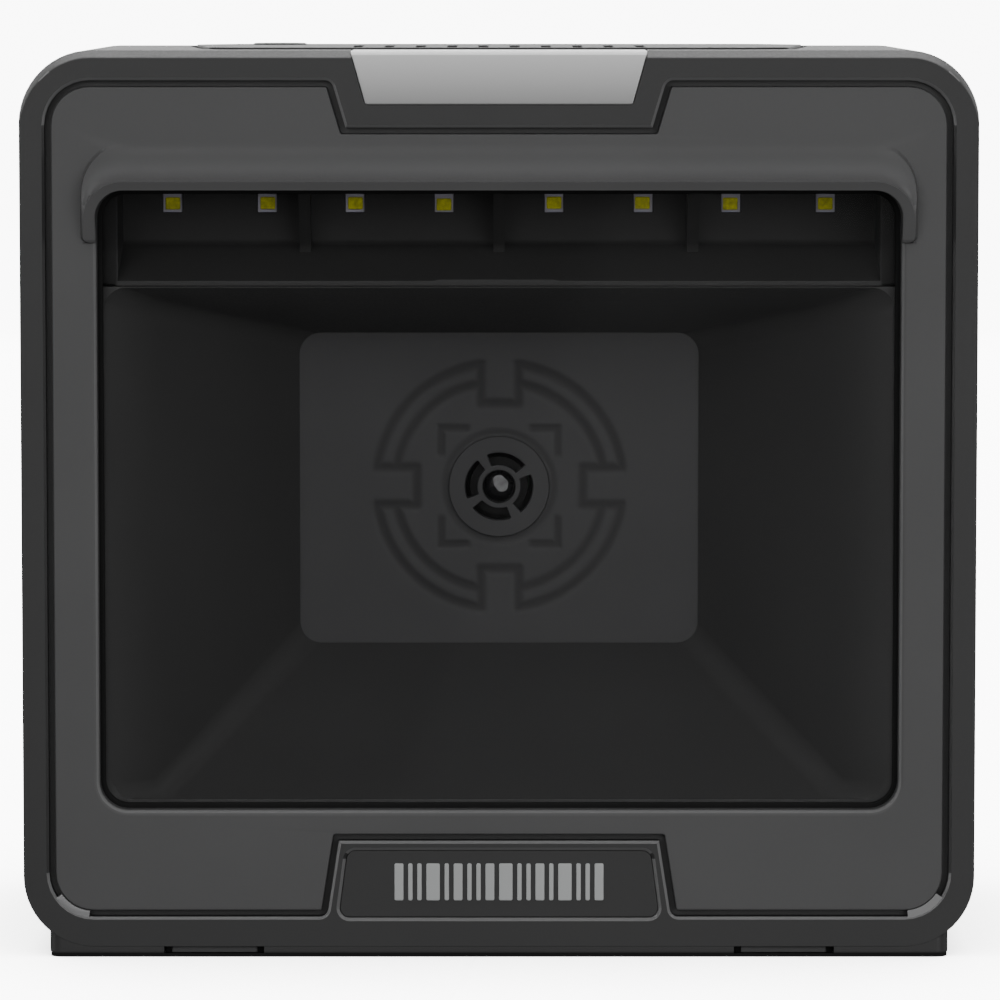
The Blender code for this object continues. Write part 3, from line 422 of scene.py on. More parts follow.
def cut_edge(size):
    """(inset, drop) pairs of a chamfer."""
    return [(0.0, size), (size, 0.0)]


SHARP = [(0.0, 0.0)]


def plate_mesh(corners, holes, back, front, edge=SHARP, hole_edge=None, axis="Y", steps=8):
    """A plate from back to front, with shaped edges round its front face and its holes."""
    shape = Shape(axis)
    toward = 1 if front > back else -1
    loops = []
    for index, loop in enumerate([corners, *holes]):
        inward = -1 if index == 0 else 1
        profile = edge if index == 0 else (hole_edge or edge)
        places = [(0.0, back)] + [(inward * inset, front - toward * drop) for inset, drop in profile]
        loops.append(shape.rings(loop, places, steps))
        shape.strip(*loops[-1])
    shape.cap(*[rings[0] for rings in loops])
    shape.cap(*[rings[-1] for rings in loops])
    return shape.mesh()


def prism_mesh(corners, low, high, axis="Y", steps=8):
    """A plain prism with sharp edges, from low to high along an axis."""
    return plate_mesh(corners, [], low, high, axis=axis, steps=steps)


def box_mesh(low, high, edge=0.2):
    """A block with its edges eased."""
    bm = bmesh.new()
    bmesh.ops.create_cube(bm, size=1)
    bmesh.ops.scale(bm, vec=[(b - a) * MM for a, b in zip(low, high)], verts=bm.verts)
    bmesh.ops.translate(bm, vec=[(a + b) / 2 * MM for a, b in zip(low, high)], verts=bm.verts)
    bmesh.ops.bevel(bm, geom=bm.edges[:], offset=edge * MM, segments=2, affect="EDGES", profile=0.5)
    return finished(bm)


def turned_mesh(profile, centre, axis="Z", steps=32):
    """A turned form from (radius, w) pairs, which starts and ends close to its axis."""
    shape = Shape(axis)
    turns = [math.tau * step / steps for step in range(steps)]
    rings = [
        shape.ring([(centre[0] + radius * math.cos(t), centre[1] + radius * math.sin(t)) for t in turns], w)
        for radius, w in profile
    ]
    shape.strip(*rings)
    shape.cap(rings[0])
    shape.cap(rings[-1])
    return shape.mesh()


def joined_mesh(meshes):
    """One mesh from several, which stay separate bodies in it."""
    bm = bmesh.new()
    for mesh in meshes:
        bm.from_mesh(mesh)
        bpy.data.meshes.remove(mesh)
    return finished(bm)


def carved_mesh(mesh, cutters, operation="DIFFERENCE"):
    """The mesh less the cutter meshes, or joined with them."""
    target = placed("carving", mesh)
    tools = [placed("tool", cutter) for cutter in cutters]
    for tool in tools:
        modifier = target.modifiers.new("carve", "BOOLEAN")
        modifier.operation = operation
        modifier.solver = "EXACT"
        modifier.object = tool
    made = bpy.data.meshes.new_from_object(target.evaluated_get(bpy.context.evaluated_depsgraph_get()))
    for obj in (target, *tools):
        bpy.data.objects.remove(obj)
    return made


# Materials -----------------------------------------------------------------------------------


def opaque(colour, share=1.0):
    """A colour, or a share of it, with an alpha of 1."""
    return (*[min(1.0, channel * share) for channel in colour], 1)


class Paint:
    """A material and its nodes, patterned by places on the piece itself."""

    def __init__(self, name, colour=None):
        self.material = bpy.data.materials.new(name)
        self.material.use_nodes = True
        self.shader = self.material.node_tree.nodes["Principled BSDF"]
        self.place = self.add("ShaderNodeTexCoord", {}).outputs["Object"]
        if colour:
            self.material.diffuse_color = opaque(colour)

    def feed(self, node, inputs):
        """Sets a node's inputs, each from a number or colour or from another node's output."""
        for name, value in inputs.items():
            if isinstance(value, bpy.types.NodeSocket):
                self.material.node_tree.links.new(value, node.inputs[name])
            else:
                node.inputs[name].default_value = value

    def add(self, kind, inputs):
        node = self.material.node_tree.nodes.new(kind)
        self.feed(node, inputs)
        return node

    def finish(self, inputs):
        """Feeds the shader, and returns the material."""
        self.feed(self.shader, inputs)
        return self.material

    def noise(self, size, detail=2.0, roughness=0.5):
        """Noise whose features are about `size` millimetres across."""
        inputs = {"Vector": self.place, "Scale": 1 / (size * MM), "Detail": detail, "Roughness": roughness}
        return self.add("ShaderNodeTexNoise", inputs).outputs["Fac"]

    def mapped(self, source, low, high, start=0.3, end=0.7):
        """A value run from low to high as the source goes from start to end."""
        inputs = {"Value": source, "From Min": start, "From Max": end, "To Min": low, "To Max": high}
        return self.add("ShaderNodeMapRange", inputs).outputs["Result"]

    def blend(self, factor, first, second):
        node = self.material.node_tree.nodes.new("ShaderNodeMix")
        node.data_type = "RGBA"
        self.feed(node, {"Factor": factor, "A": first, "B": second})
        return node.outputs["Result"]

    def bump(self, height, strength, distance):
        """A normal raised by a height, with the distance in millimetres."""
        inputs = {"Height": height, "Strength": strength, "Distance": distance * MM}
        return self.add("ShaderNodeBump", inputs).outputs["Normal"]

    def height(self):
        """The Z of a place on the piece, in metres."""
        return self.add("ShaderNodeSeparateXYZ", {"Vector": self.place}).outputs["Z"]


def moulded(name, colour, roughness, specular=0.35, shade=0.05, grain=0.45, depth=0.012, patch=28.0):
    """Paint for moulded plastic, with its colour's output: a fine grain, and slow changes of shade."""
    paint = Paint(name, colour)
    fine = paint.noise(grain, 3.0, 0.6)
    slow = paint.mapped(paint.noise(patch, 3.0), 0.0, 1.0)
    tone = paint.blend(slow, opaque(colour, 1 - shade), opaque(colour, 1 + shade))
    paint.finish({
        "Base Color": tone,
        "Roughness": paint.mapped(fine, roughness - 0.05, roughness + 0.05),
        "Specular IOR Level": specular,
        "Normal": paint.bump(fine, 0.6, depth),
    })
    return paint, tone


def plastic(*look):
    return moulded(*look)[0].material


def metal(name, colour, roughness):
    """Bare sheet metal: brushed along one way, with faint stains."""
    paint = Paint(name, colour)
    stretched = paint.add("ShaderNodeMapping", {"Vector": paint.place, "Scale": (1.0, 14.0, 14.0)})
    grain = {"Vector": stretched.outputs["Vector"], "Scale": 180.0, "Detail": 3.0}
    brushed = paint.add("ShaderNodeTexNoise", grain).outputs["Fac"]
    stains = paint.mapped(paint.noise(9.0, 4.0), 0.0, 1.0)
    return paint.finish({
        "Base Color": paint.blend(stains, opaque(colour, 0.78), opaque(colour, 1.15)),
        "Roughness": paint.mapped(brushed, roughness - 0.1, roughness + 0.12),
        "Metallic": 1.0,
        "Normal": paint.bump(brushed, 0.3, 0.01),
    })


def board(name, mask, copper):
    """A circuit board's lacquer over raised copper tracks that run square to one another."""
    paint = Paint(name, mask)
    cells = paint.add("ShaderNodeTexVoronoi", {"Vector": paint.place, "Scale": 240.0})
    cells.distance = "MANHATTAN"
    tracks = paint.mapped(cells.outputs["Distance"], 0.0, 1.0, 0.42, 0.5)
    return paint.finish({
        "Base Color": paint.blend(tracks, opaque(mask), opaque(copper)),
        "Roughness": paint.mapped(paint.noise(12.0, 3.0), 0.28, 0.42),
        "Normal": paint.bump(tracks, 0.5, 0.03),
    })


def ribbon_material():
    """An amber ribbon cable, with copper lines along it."""
    paint = Paint("ribbon_film", (0.4, 0.2, 0.06))
    lines = {"Vector": paint.place, "Scale": 320.0, "Distortion": 0.2}
    lines = paint.add("ShaderNodeTexWave", lines).outputs["Fac"]
    shares = paint.mapped(lines, 0.0, 1.0)
    return paint.finish({
        "Base Color": paint.blend(shares, (0.30, 0.14, 0.03, 1), (0.55, 0.30, 0.10, 1)),
        "Roughness": paint.mapped(paint.noise(20.0, 3.0), 0.22, 0.4),
        "Normal": paint.bump(lines, 0.4, 0.02),
    })


def glass_material():
    """Coated clear glass, almost without reflections."""
    paint = Paint("clear_glass")
    haze = paint.noise(30.0, 4.0)
    return paint.finish({
        "Base Color": (0.02, 0.02, 0.02, 1),
        "Roughness": paint.mapped(haze, 0.02, 0.06),
        "Specular IOR Level": 0.7,
        "Alpha": paint.mapped(haze, 0.05, 0.09),
    })


def lens_material():
    """The camera's dark coated glass."""
    paint = Paint("coated_lens")
    return paint.finish({
        "Base Color": (0.004, 0.004, 0.005, 1),
        "Roughness": paint.mapped(paint.noise(1.0), 0.18, 0.3),
        "Specular IOR Level": 0.2,
    })


def engraved_material():
    """The smoked window, with painted shade: darker where its mesh says that it is engraved."""
    paint, tone = moulded("engraved_smoked_plastic_groove_shade", (0.051, 0.051, 0.053), 0.5, 0.25)
    engraving = paint.add("ShaderNodeAttribute", {})
    engraving.attribute_name = "engraving"
    return paint.finish({"Base Color": paint.blend(engraving.outputs["Fac"], tone, (0.025, 0.025, 0.026, 1))})


def shroud_material():
    """Matt black, with painted light on the pocket's sloping floor, which is made a little paler where the
    hood shades it, and darker on the outer ends.
    """
    paint, tone = moulded("shroud_plastic", (0.021, 0.021, 0.021), 0.6, 0.2)
    split = paint.add("ShaderNodeSeparateXYZ", {"Vector": paint.place})
    outward = paint.add("ShaderNodeMath", {0: split.outputs["X"]})
    outward.operation = "ABSOLUTE"
    # Painted light: the colour is made paler on the floor below z 111 mm; it is darkened on the outer ends
    # past x 60 mm
    for source, low, high, start, end in (
        (split.outputs["Z"], 2.2, 1.0, 111.0 * MM, 112.0 * MM),
        (outward.outputs["Value"], 1.0, 0.2, 60.0 * MM, 60.3 * MM),
    ):
        scaled = paint.add("ShaderNodeVectorMath", {0: tone})
        scaled.operation = "SCALE"
        paint.feed(scaled, {"Scale": paint.mapped(source, low, high, start, end)})
        tone = scaled.outputs["Vector"]
    return paint.finish({"Base Color": tone})


def lamp_cover_material():
    """Milky plastic with painted light: lighter towards its top edge, and a painted highlight along that
    edge.
    """
    paint, _ = moulded("frosted_lamp_cover", (0.5, 0.5, 0.5), 0.35, 0.5, 0.02)
    height, low, high = paint.height(), LENS[0].z * MM, LENS[1].z * MM
    # Painted light: a lighter shade towards the top, and a painted highlight in a strip at the top edge
    total = paint.add("ShaderNodeMath", {
        0: paint.mapped(height, *LAMP_PAINTED_SHADES, low, high),
        1: paint.mapped(height, 0.0, LAMP_TOP_HIGHLIGHT, high - 0.75 * MM, high - 0.6 * MM),
    }).outputs["Value"]
    tint = paint.add("ShaderNodeCombineColor", {"Red": total, "Green": total, "Blue": total})
    return paint.finish({"Base Color": tint.outputs["Color"]})


# Colour, roughness, specular level, change of shade, grain, depth of the grain, and patch size
SURFACES = {
    "casing": plastic("casing_plastic", (0.0265, 0.0265, 0.0268), 0.48),
    # A paler casing colour: the painted highlight on the groove's chamfer
    "painted_edge_highlight": plastic("polished_casing_edge", (0.124, 0.124, 0.125), 0.4),
    # A pale plastic for the pieces that are painted highlights in the groove's corners
    "corner_glint": plastic("polished_corner", (0.22, 0.22, 0.222), 0.35),
    "fascia": plastic("fascia_plastic", (0.066, 0.066, 0.067), 0.5),
    "black": plastic("black_plastic", (0.050, 0.050, 0.050), 0.5, 0.25),
    "smoked": plastic("smoked_plastic", (0.053, 0.053, 0.055), 0.5, 0.25),
    # A pale glass for the bead that is a painted reflection in the lens
    "painted_lens_glint": plastic("inner_lens_glass", (0.21, 0.21, 0.215), 0.2, 0.6, 0.35, 0.5, 0.02, 1.2),
    # Paler fascia plastic: painted light on the visor's lip
    "visor_lip": plastic("visor_lip_plastic", (0.096, 0.096, 0.097), 0.5),
    "rubber": plastic("black_rubber", (0.007, 0.007, 0.007), 0.75, 0.15),
    # Paler fascia plastic: a painted highlight on the window's rounded edge
    "window_edge": plastic("window_edge_plastic", (0.122, 0.122, 0.123), 0.45),
    "foot": plastic("foot_rubber", (0.075, 0.075, 0.076), 0.7, 0.25),
    "frosted": plastic("frosted_plastic", (0.75, 0.75, 0.75), 0.35, 0.5, 0.02),
    "pale": plastic("pale_plastic", (0.40, 0.41, 0.41), 0.4),
    "button": plastic("button_plastic", (0.03, 0.03, 0.0305), 0.4),
    "screw": plastic("screw_steel", (0.10, 0.10, 0.105), 0.3, 0.9, 0.15, 0.3, 0.01, 3.0),
    "steel": metal("plain_steel", (0.42, 0.42, 0.43), 0.38),
    "speaker_frame": metal("speaker_frame", (0.16, 0.16, 0.165), 0.45),
    "paper": plastic("speaker_paper", (0.035, 0.034, 0.032), 0.85, 0.15, 0.25, 0.25, 0.05, 4.0),
    "foam": plastic("speaker_foam", (0.02, 0.02, 0.02), 0.95, 0.1, 0.2, 0.35, 0.08, 6.0),
    "green_board": board("green_board", (0.010, 0.085, 0.030), (0.020, 0.14, 0.05)),
    "black_board": board("black_board", (0.012, 0.012, 0.013), (0.022, 0.022, 0.024)),
    "ribbon": ribbon_material(),
    "chip": plastic("chip_package", (0.018, 0.018, 0.019), 0.5, 0.3, 0.12, 0.12, 0.01, 5.0),
    "sensor": plastic("sensor_package", (0.02, 0.025, 0.045), 0.2, 0.7, 0.1, 0.3, 0.004, 4.0),
    "switch": plastic("switch_plastic", (0.02, 0.02, 0.02), 0.4, 0.4, 0.1, 0.4, 0.008, 6.0),
    "plunger": plastic("plunger_plastic", (0.55, 0.05, 0.03), 0.45, 0.4, 0.08, 0.4, 0.008, 4.0),
    "gold": plastic("gold_contact", (0.75, 0.5, 0.15), 0.25, 0.9, 0.05, 0.3, 0.004, 3.0),
    "engraved": engraved_material(),
    "lamp_cover": lamp_cover_material(),
    "deep": plastic("deep_black_plastic", (0.008, 0.008, 0.008), 0.6, 0.15),
    "shroud": shroud_material(),
    "glass": glass_material(),
    "lens": lens_material(),
    "package": plastic("led_package", (0.44, 0.42, 0.50), 0.4),
    "phosphor": plastic("led_phosphor", (0.66, 0.64, 0.012), 0.6, 0.2, 0.3, 0.3, 0.03, 0.6),
}


# Casing --------------------------------------------------------------------------------------


def bezel():
    """The front frame: a rounded outer edge, and a groove with a chamfered rim round the fascia."""
    shape = Shape()
    body, edge = body_corners(), fascia_corners()
    outer = [shape.ring(rounded(body, 14), at(SEAM))]
    for large, small in zip(TOP_CHAMFER, round_edge(LOWER_ROUNDING, len(TOP_CHAMFER) - 1)):
        points = []
        for (u, v), (low_u, low_v) in zip(*[rounded(grown(body, -inset), 14) for inset, _ in (large, small)]):
            share = smooth_step(v, *TOP_CHAMFER_FADES)
            rest = 1 - share
            depth = large[1] * share + small[1] * rest
            points.append((u * share + low_u * rest, v * share + low_v * rest, at(depth)))
        outer.append(shape.free_ring(points))
    groove = [(GROOVE_WIDTH + GROOVE_CHAMFER, at(0)), (GROOVE_WIDTH, at(GROOVE_CHAMFER))]
    groove += [(GROOVE_WIDTH, at(GROOVE_DEPTH)), (HAIRLINE, at(GROOVE_DEPTH)), (HAIRLINE, at(FASCIA_SEAT))]
    inner = shape.rings(edge, groove)
    ledge = shape.rings(box_corners(*LEDGE_OPENING), [(0, at(FASCIA_SEAT)), (0, at(LEDGE_BACK))])
    wall = shape.rings(body, [(-BEZEL_WALL, at(LEDGE_BACK)), (-BEZEL_WALL, at(SEAM))])
    for rings in (outer, inner, ledge, wall):
        shape.strip(*rings)
    shape.cap(outer[-1], inner[0])
    shape.cap(inner[-1], ledge[0])
    shape.cap(ledge[-1], wall[0])
    shape.cap(outer[0], wall[-1])
    lens_pocket = prism_mesh(grown(lens_corners(LENS[1].z + 2), HAIRLINE), at(-1), at(LENS_BACK + GAP))
    flare = [(0.0, BADGE_CHAMFER + BADGE_PAST), (-BADGE_CHAMFER - BADGE_PAST, 0.0)]
    badge_seat = plate_mesh(grown(badge_corners(), HAIRLINE), [], at(BADGE_SEAT), at(-BADGE_PAST), flare)
    mesh = carved_mesh(shape.mesh(), [lens_pocket, badge_seat])
    piece("bezel_moulding", mesh, "casing", ["front_bezel"])
    paint_chamfer_highlight(mesh)


def paint_chamfer_highlight(mesh):
    """Paints a highlight on the groove's chamfer: a paler colour on its level parts, and on all of it at the
    corners.
    """
    mesh.materials.append(SURFACES["painted_edge_highlight"])
    for face in mesh.polygons:
        across, depth, up = (value / MM for value in face.center)
        near_groove = abs(across) < HIGHLIGHT_HALF and HIGHLIGHT_Z[0] < up < HIGHLIGHT_Z[1]
        slanting = HIGHLIGHT_LEAN[0] < abs(face.normal.y) < HIGHLIGHT_LEAN[1]
        on_chamfer = near_groove and slanting and 0.02 < depth - at(0) < GROOVE_CHAMFER
        if on_chamfer and (abs(face.normal.x) < 0.55 or not STRAIGHT_Z[0] < up < STRAIGHT_Z[1]):
            face.material_index = 1


def corner_glints():
    """Two short pale arcs that fill the groove at the fascia's lower corners: painted highlights, pale pieces
    in place of the light that glints there.
    """
    x, z, radius = fascia_corners()[0]
    start, end = GLINT_TURNS
    turns = [math.radians(start + (end - start) * step / 10) for step in range(11)]
    outer, inner = radius + GROOVE_WIDTH + GROOVE_CHAMFER * 0.8, radius + HAIRLINE + 0.05
    for side, word in ((-1, "left"), (1, "right")):
        middle_x, middle_z = side * (abs(x) - radius), z + radius
        corners = [
            (middle_x + side * reach * math.cos(turn), middle_z - reach * math.sin(turn), 0.0)
            for reach, way in ((outer, turns), (inner, turns[::-1]))
            for turn in way
        ]
        mesh = plate_mesh(corners, [], at(1.2), at(0.22), round_edge(0.12, 2), steps=1)
        piece("groove_corner_glint_" + word, mesh, "corner_glint", sharp=50)


def visor_reach(z):
    """How far the visor's slanting lip stands out from the bezel's front at a height."""
    return VISOR_END_REACH + (VISOR_REACH - VISOR_END_REACH) * (z - VISOR_END) / (VISOR_LIP_TOP - VISOR_END)


def smooth_step(value, low, high):
    share = min(1.0, max(0.0, (value - low) / (high - low)))
    return share * share * (3 - 2 * share)


def subdivided(points, longest):
    """A closed outline with points added along its long sides."""
    made = []
    for index, point in enumerate(points):
        here, following = Vector(point), Vector(points[(index + 1) % len(points)])
        count = max(1, math.ceil((following - here).length / longest))
        made += [tuple(here.lerp(following, step / count)) for step in range(count)]
    return made


def visor_stations():
    """Points round the window as (x, z, outward direction): close together at the visor's ends."""
    ends = [VISOR_END + VISOR_CORNER * (1 - math.cos(math.pi / 2 * step / 5)) for step in range(6)]
    ends = [VISOR_END - 0.15, *ends]
    side_x = WINDOW_HALF - 0.01
    outline = subdivided(rounded(window_corners(), 14), 1.0)
    outline = [(x, z) for x, z in outline if abs(x) < side_x or not ends[0] - 0.4 < z < ends[-1] + 0.4]
    for side in (1, -1):
        on_side = [i for i, (x, z) in enumerate(outline) if x * side > side_x]
        before = [i for i in on_side if (outline[i][1] < VISOR_END) == (side > 0)]
        place = max(before, key=lambda i: outline[i][1] * side) + 1
        outline[place:place] = [(side * WINDOW_HALF, z) for z in ends[::side]]
    stations = []
    for index, (x, z) in enumerate(outline):
        before, after = Vector(outline[index - 1]), Vector(outline[(index + 1) % len(outline)])
        along = (after - before).normalized()
        stations.append((x, z, Vector((along.y, -along.x))))
    return stations


def visor_section(x, z, outward):
    """One section of the fascia round the window, from flat face to inner wall, as (x, z, depth)."""
    up = max(0.0, outward.y)
    lip = VISOR_SIDE_LIP + (VISOR_LIP_TOP - WINDOW_TOP - VISOR_SIDE_LIP) * up
    above = z - VISOR_END
    sweep_steps, edge_steps = 14, 4
    offsets = []
    if above >= -0.001:
        inset = max(0.0, VISOR_CORNER - above)
        lip -= VISOR_CORNER - math.sqrt(max(0.0, VISOR_CORNER ** 2 - inset ** 2))
        reach_in = visor_reach(z) + FASCIA_FRONT
        reach_out = visor_reach(z + outward.y * lip) + FASCIA_FRONT
        foot = lip + VISOR_FOOT + VISOR_SWEEP * up ** 2
        wall = reach_out * (1 - up ** 2)
        crest = foot - VISOR_WALL
        offsets += [(foot, 0.0), (crest, wall)]
        for step in range(1, sweep_steps + 1):
            turn = math.pi / 2 * step / sweep_steps
            out = crest - (crest - lip) * math.sin(turn)
            offsets.append((out, wall + (reach_out - wall) * (1 - math.cos(turn))))
        edge, top = VISOR_ROUNDING, reach_in
    else:
        edge, top = WINDOW_ROUNDING, 0.0
        foot = lip + VISOR_FOOT
        for step in range(sweep_steps + 2):
            offsets.append((foot - (foot - edge - 0.2) * step / (sweep_steps + 1), 0.0))
    for inset, drop in reversed(round_edge(edge, edge_steps)):
        offsets.append((inset, top - drop))
    return [(x + outward.x * out, z + outward.y * out, at(FASCIA_FRONT - height)) for out, height in offsets]


def fascia():
    """The lighter face with the window's opening, and the visor that sweeps out of it."""
    shape = Shape()
    sections = [visor_section(*station) for station in visor_stations()]
    rows = [shape.free_ring([section[k] for section in sections]) for k in range(len(sections[0]))]
    back = shape.ring([(x, z) for x, z, _ in visor_stations()], at(FASCIA_BACK))
    shape.strip(*rows, back)
    side = [(0, at(FASCIA_BACK))] + [(-inset, at(FASCIA_FRONT + drop)) for inset, drop in round_edge(0.25, 3)]
    outer = shape.rings(fascia_corners(), side)
    shape.strip(*outer)
    shape.cap(outer[-1], rows[0])
    shape.cap(outer[0], back)
    mesh = shape.mesh()
    piece("fascia_moulding", mesh, "fascia", ["fascia_panel"])
    paint_fascia_light(mesh)


def paint_fascia_light(mesh):
    """Painted light on the fascia: a paler colour on the window's rounded edge as a painted highlight, and a
    paler colour on the flat front of the visor's lip as painted light.
    """
    mesh.materials.append(SURFACES["window_edge"])
    mesh.materials.append(SURFACES["visor_lip"])
    margin = WINDOW_ROUNDING + 0.4
    for face in mesh.polygons:
        across, depth, up = (value / MM for value in face.center)
        lean = abs(face.normal.y)
        near_window = abs(across) < WINDOW_HALF + margin and WINDOW_BOTTOM - margin < up < WINDOW_TOP + margin
        on_lip = abs(depth - at(-visor_reach(up))) < 0.45 and lean > 0.5
        if near_window and up < VISOR_END - 0.3 and 0.2 < lean < 0.97:
            face.material_index = 1
        if on_lip and VISOR_END + 0.5 < up < VISOR_LIP_TOP + 0.2:
            face.material_index = 2


def housing():
    """The tub behind the bezel: a rounded back, and the tongue that enters the bezel."""
    body = body_corners()
    back, seam = HOUSING[1].y, at(SEAM + GAP)
    cavity = box_corners(BEZEL[1].x - HOUSING_WALL, CAVITY_BOTTOM, CAVITY_TOP, CAVITY_CORNER)
    shape = Shape()
    sides = [(-0.25, seam), (0.0, seam + 0.25)]
    sides += [(-inset, back - drop) for inset, drop in round_edge(REAR_ROUNDING, 9)]
    outer = shape.rings(body, sides, 14)
    tongue = [(-TONGUE_OUT, seam), (-TONGUE_OUT, at(TONGUE_FRONT))]
    tongue += [(-TONGUE_IN, at(TONGUE_FRONT)), (-TONGUE_IN, at(TONGUE_BACK))]
    inner = shape.rings(body, tongue, 14)
    inner += shape.rings(cavity, [(0, at(TONGUE_BACK)), (0, back - HOUSING_WALL)], 14)
    shape.strip(inner[0], *outer)
    shape.strip(*inner)
    shape.cap(outer[-1])
    shape.cap(inner[-1])
    mesh = carved_mesh(shape.mesh(), housing_cutters())
    piece("housing_moulding", mesh, "casing", ["rear_housing"])


def case_screw_places():
    return [(side * 66.0, z) for z in (12.4, 130.7) for side in (-1, 1)]


def base_screw_places():
    return [(side * 30.0, at(depth)) for depth in (24.0, 64.0) for side in (-1, 1)]


def housing_cutters():
    """What is cut from the housing: the panel's recess and wells, the socket and the screws' seats."""
    back = HOUSING[1].y
    place = (BUTTON_X, at(BUTTON_DEPTH))
    low, high = 137.0, 145.0
    cutters = [
        prism_mesh(grown(panel_corners(), PANEL_GAP), PANEL[0].z - GAP, high, "Z"),
        prism_mesh(box_corners(25.0, LENS[0].z, 141.6, 0.1), at(7.0), at(12.2)),
        prism_mesh(rectangle(-25.5, 25.5, at(16.5), at(46.0), 1.0), low, high, "Z"),
        prism_mesh(round_corners(*place, 6.2), low, high, "Z"),
        prism_mesh(
            rectangle(STATUS_X[0] - 1.6, STATUS_X[-1] + 1.6, at(54.2), at(57.8), 0.5), low, high, "Z"
        ),
        prism_mesh(rectangle(-60.3, 60.3, at(16.7), at(71.3), 0.5), -1.0, 3.9, "Z"),
        prism_mesh(box_corners(8.2, 12.4, 26.4, 0.8), back - 4.0, back + 1.0),
    ]
    cutters += [prism_mesh(round_corners(x, z, 3.1), at(76.0), back + 1) for x, z in case_screw_places()]
    cutters += [prism_mesh(round_corners(x, y, 1.5), 1.0, 9.6, "Z") for x, y in base_screw_places()]
    return cutters


def top_panel():
    """The raised panel: bevelled speaker slots, the button's hole and six small light holes."""
    first = -SLOT_PITCH * (SLOT_COUNT - 1) / 2
    holes = [
        rectangle(x - SLOT_WIDTH / 2, x + SLOT_WIDTH / 2, at(SLOT_DEPTHS[0]), at(SLOT_DEPTHS[1]), 0.6)
        for x in (first + SLOT_PITCH * index for index in range(SLOT_COUNT))
    ]
    holes.append(round_corners(BUTTON_X, at(BUTTON_DEPTH), BUTTON_RADIUS + GAP))
    holes += [round_corners(x, at(BUTTON_DEPTH), STATUS_RADIUS) for x in STATUS_X]
    mesh = plate_mesh(
        panel_corners(), holes, PANEL[0].z, PANEL[1].z, round_edge(0.12, 2), round_edge(0.2, 2), "Z"
    )
    piece("top_panel_moulding", mesh, "casing", ["top_panel"])


def indicator_lens():
    """The frosted lamp cover: it wraps over the top front edge and is hollow from behind."""
    front, back, low, high = LENS[0].y, LENS[1].y, LENS[0].z, LENS[1].z
    profile = [(front, low, 0.3), (back, low, 0.05), (back, high, 0.05), (front, high, LENS_ROUNDING)]
    shape = Shape("X")
    rings = []
    for side in (-1, 1):
        eased = [(0.35, 0.0), (0.1, 0.1), (0.0, 0.35)]
        for inset, drop in eased if side < 0 else eased[::-1]:
            outline = rounded(grown(profile, -inset), 6)
            shares = [side * (LENS_BOTTOM_HALF + LENS_SLOPE * (v - low) - drop) for _, v in outline]
            rings.append(shape.free_ring([(u, v, x) for (u, v), x in zip(outline, shares)]))
    shape.strip(*rings)
    shape.cap(rings[0])
    shape.cap(rings[-1])
    hollow_half = LENS_BOTTOM_HALF - 1.9
    hollow = prism_mesh(
        rectangle(-hollow_half, hollow_half, low - 1, high - LENS_FACE, 0.6), front + LENS_FACE, back + 1
    )
    mesh = carved_mesh(shape.mesh(), [hollow])
    piece("lamp_cover", mesh, "lamp_cover", ["indicator_lens"], sharp=40)


def badge():
    """The recessed badge plate, with a plain row of bars of different widths in place of a mark."""
    mesh = plate_mesh(badge_corners(), [], BADGE[1].y, BADGE[0].y, round_edge(0.15, 2))
    piece("badge_panel", mesh, "casing", ["badge_plate"])
    total = sum(BADGE_BARS) + len(BADGE_BARS) - 1
    unit = 2 * BADGE_BARS_HALF / total
    x, bars = -BADGE_BARS_HALF, []
    back, front = BADGE[0].y + 0.1, BADGE[0].y - 0.25
    for width in BADGE_BARS:
        corners = rectangle(x, x + width * unit, *BADGE_BARS_Z, 0.25)
        bars.append(plate_mesh(corners, [], back, front, round_edge(0.12, 2), steps=3))
        x += (width + 1) * unit
    piece("badge_bars", joined_mesh(bars), "pale")


def gasket():
    mesh = plate_mesh(
        grown(window_corners(), GLASS_OVERLAP), [grown(window_corners(), -0.8)],
        at(3.5), at(2.9), round_edge(0.15, 2), round_edge(0.3, 3),
    )
    piece("window_seal", mesh, "rubber", ["window_gasket"])


def glass():
    mesh = plate_mesh(grown(window_corners(), GLASS_OVERLAP), [], GLASS[1].y, GLASS[0].y, cut_edge(0.25))
    piece("window_glass", mesh, "glass", ["scan_window"])


def between(front, rear, depth):
    """The tunnel's section at a depth between two given sections."""
    share = (depth - front[4]) / (rear[4] - front[4])
    return tuple(a + (b - a) * share for a, b in zip(front, rear))


def tunnel():
    """The black funnel between the window and the camera, with a flange at each end."""
    shape = Shape()

    def section(values, wall=0.0):
        half, low, high, radius, depth = values
        return shape.ring(rounded(grown(box_corners(half, low, high, radius), wall), 10), at(depth))

    def flange(half, low, high, depth):
        return shape.ring(rounded(box_corners(half, low, high, 3.0), 10), at(depth))

    def mouth(side, bottom, top, depth):
        half, low, high, radius, _ = TUNNEL_FRONT
        return section((half + side, low + bottom, high + top, radius, depth))

    front = TUNNEL_FRONT[4]
    front_back = front + TUNNEL_FLANGE
    rear_front = TUNNEL_REAR[4] - TUNNEL_FLANGE
    rings = [
        flange(70.2, 17.9, 105.65, front),
        flange(70.2, 17.9, 105.65, front_back),
        section(between(TUNNEL_FRONT, TUNNEL_STEP, front_back), TUNNEL_WALL),
        section(TUNNEL_STEP, TUNNEL_WALL),
        section(between(TUNNEL_STEP, TUNNEL_REAR, rear_front), TUNNEL_WALL),
        flange(39.0, 38.4, 102.4, rear_front),
        flange(39.0, 38.4, 102.4, TUNNEL_REAR[4]),
        section(TUNNEL_REAR),
        section(TUNNEL_STEP),
        mouth(-1.6, 0.0, 0.66, front + 1.6),
        mouth(-1.0, 0.95, 0.90, front + 0.9),
        mouth(-0.5, 1.0, 1.04, front + 0.5),
        mouth(-0.05, 0.5, 1.22, front),
    ]
    shape.strip(*rings, rings[0])
    piece("tunnel_moulding", shape.mesh(), "black", ["light_tunnel"])


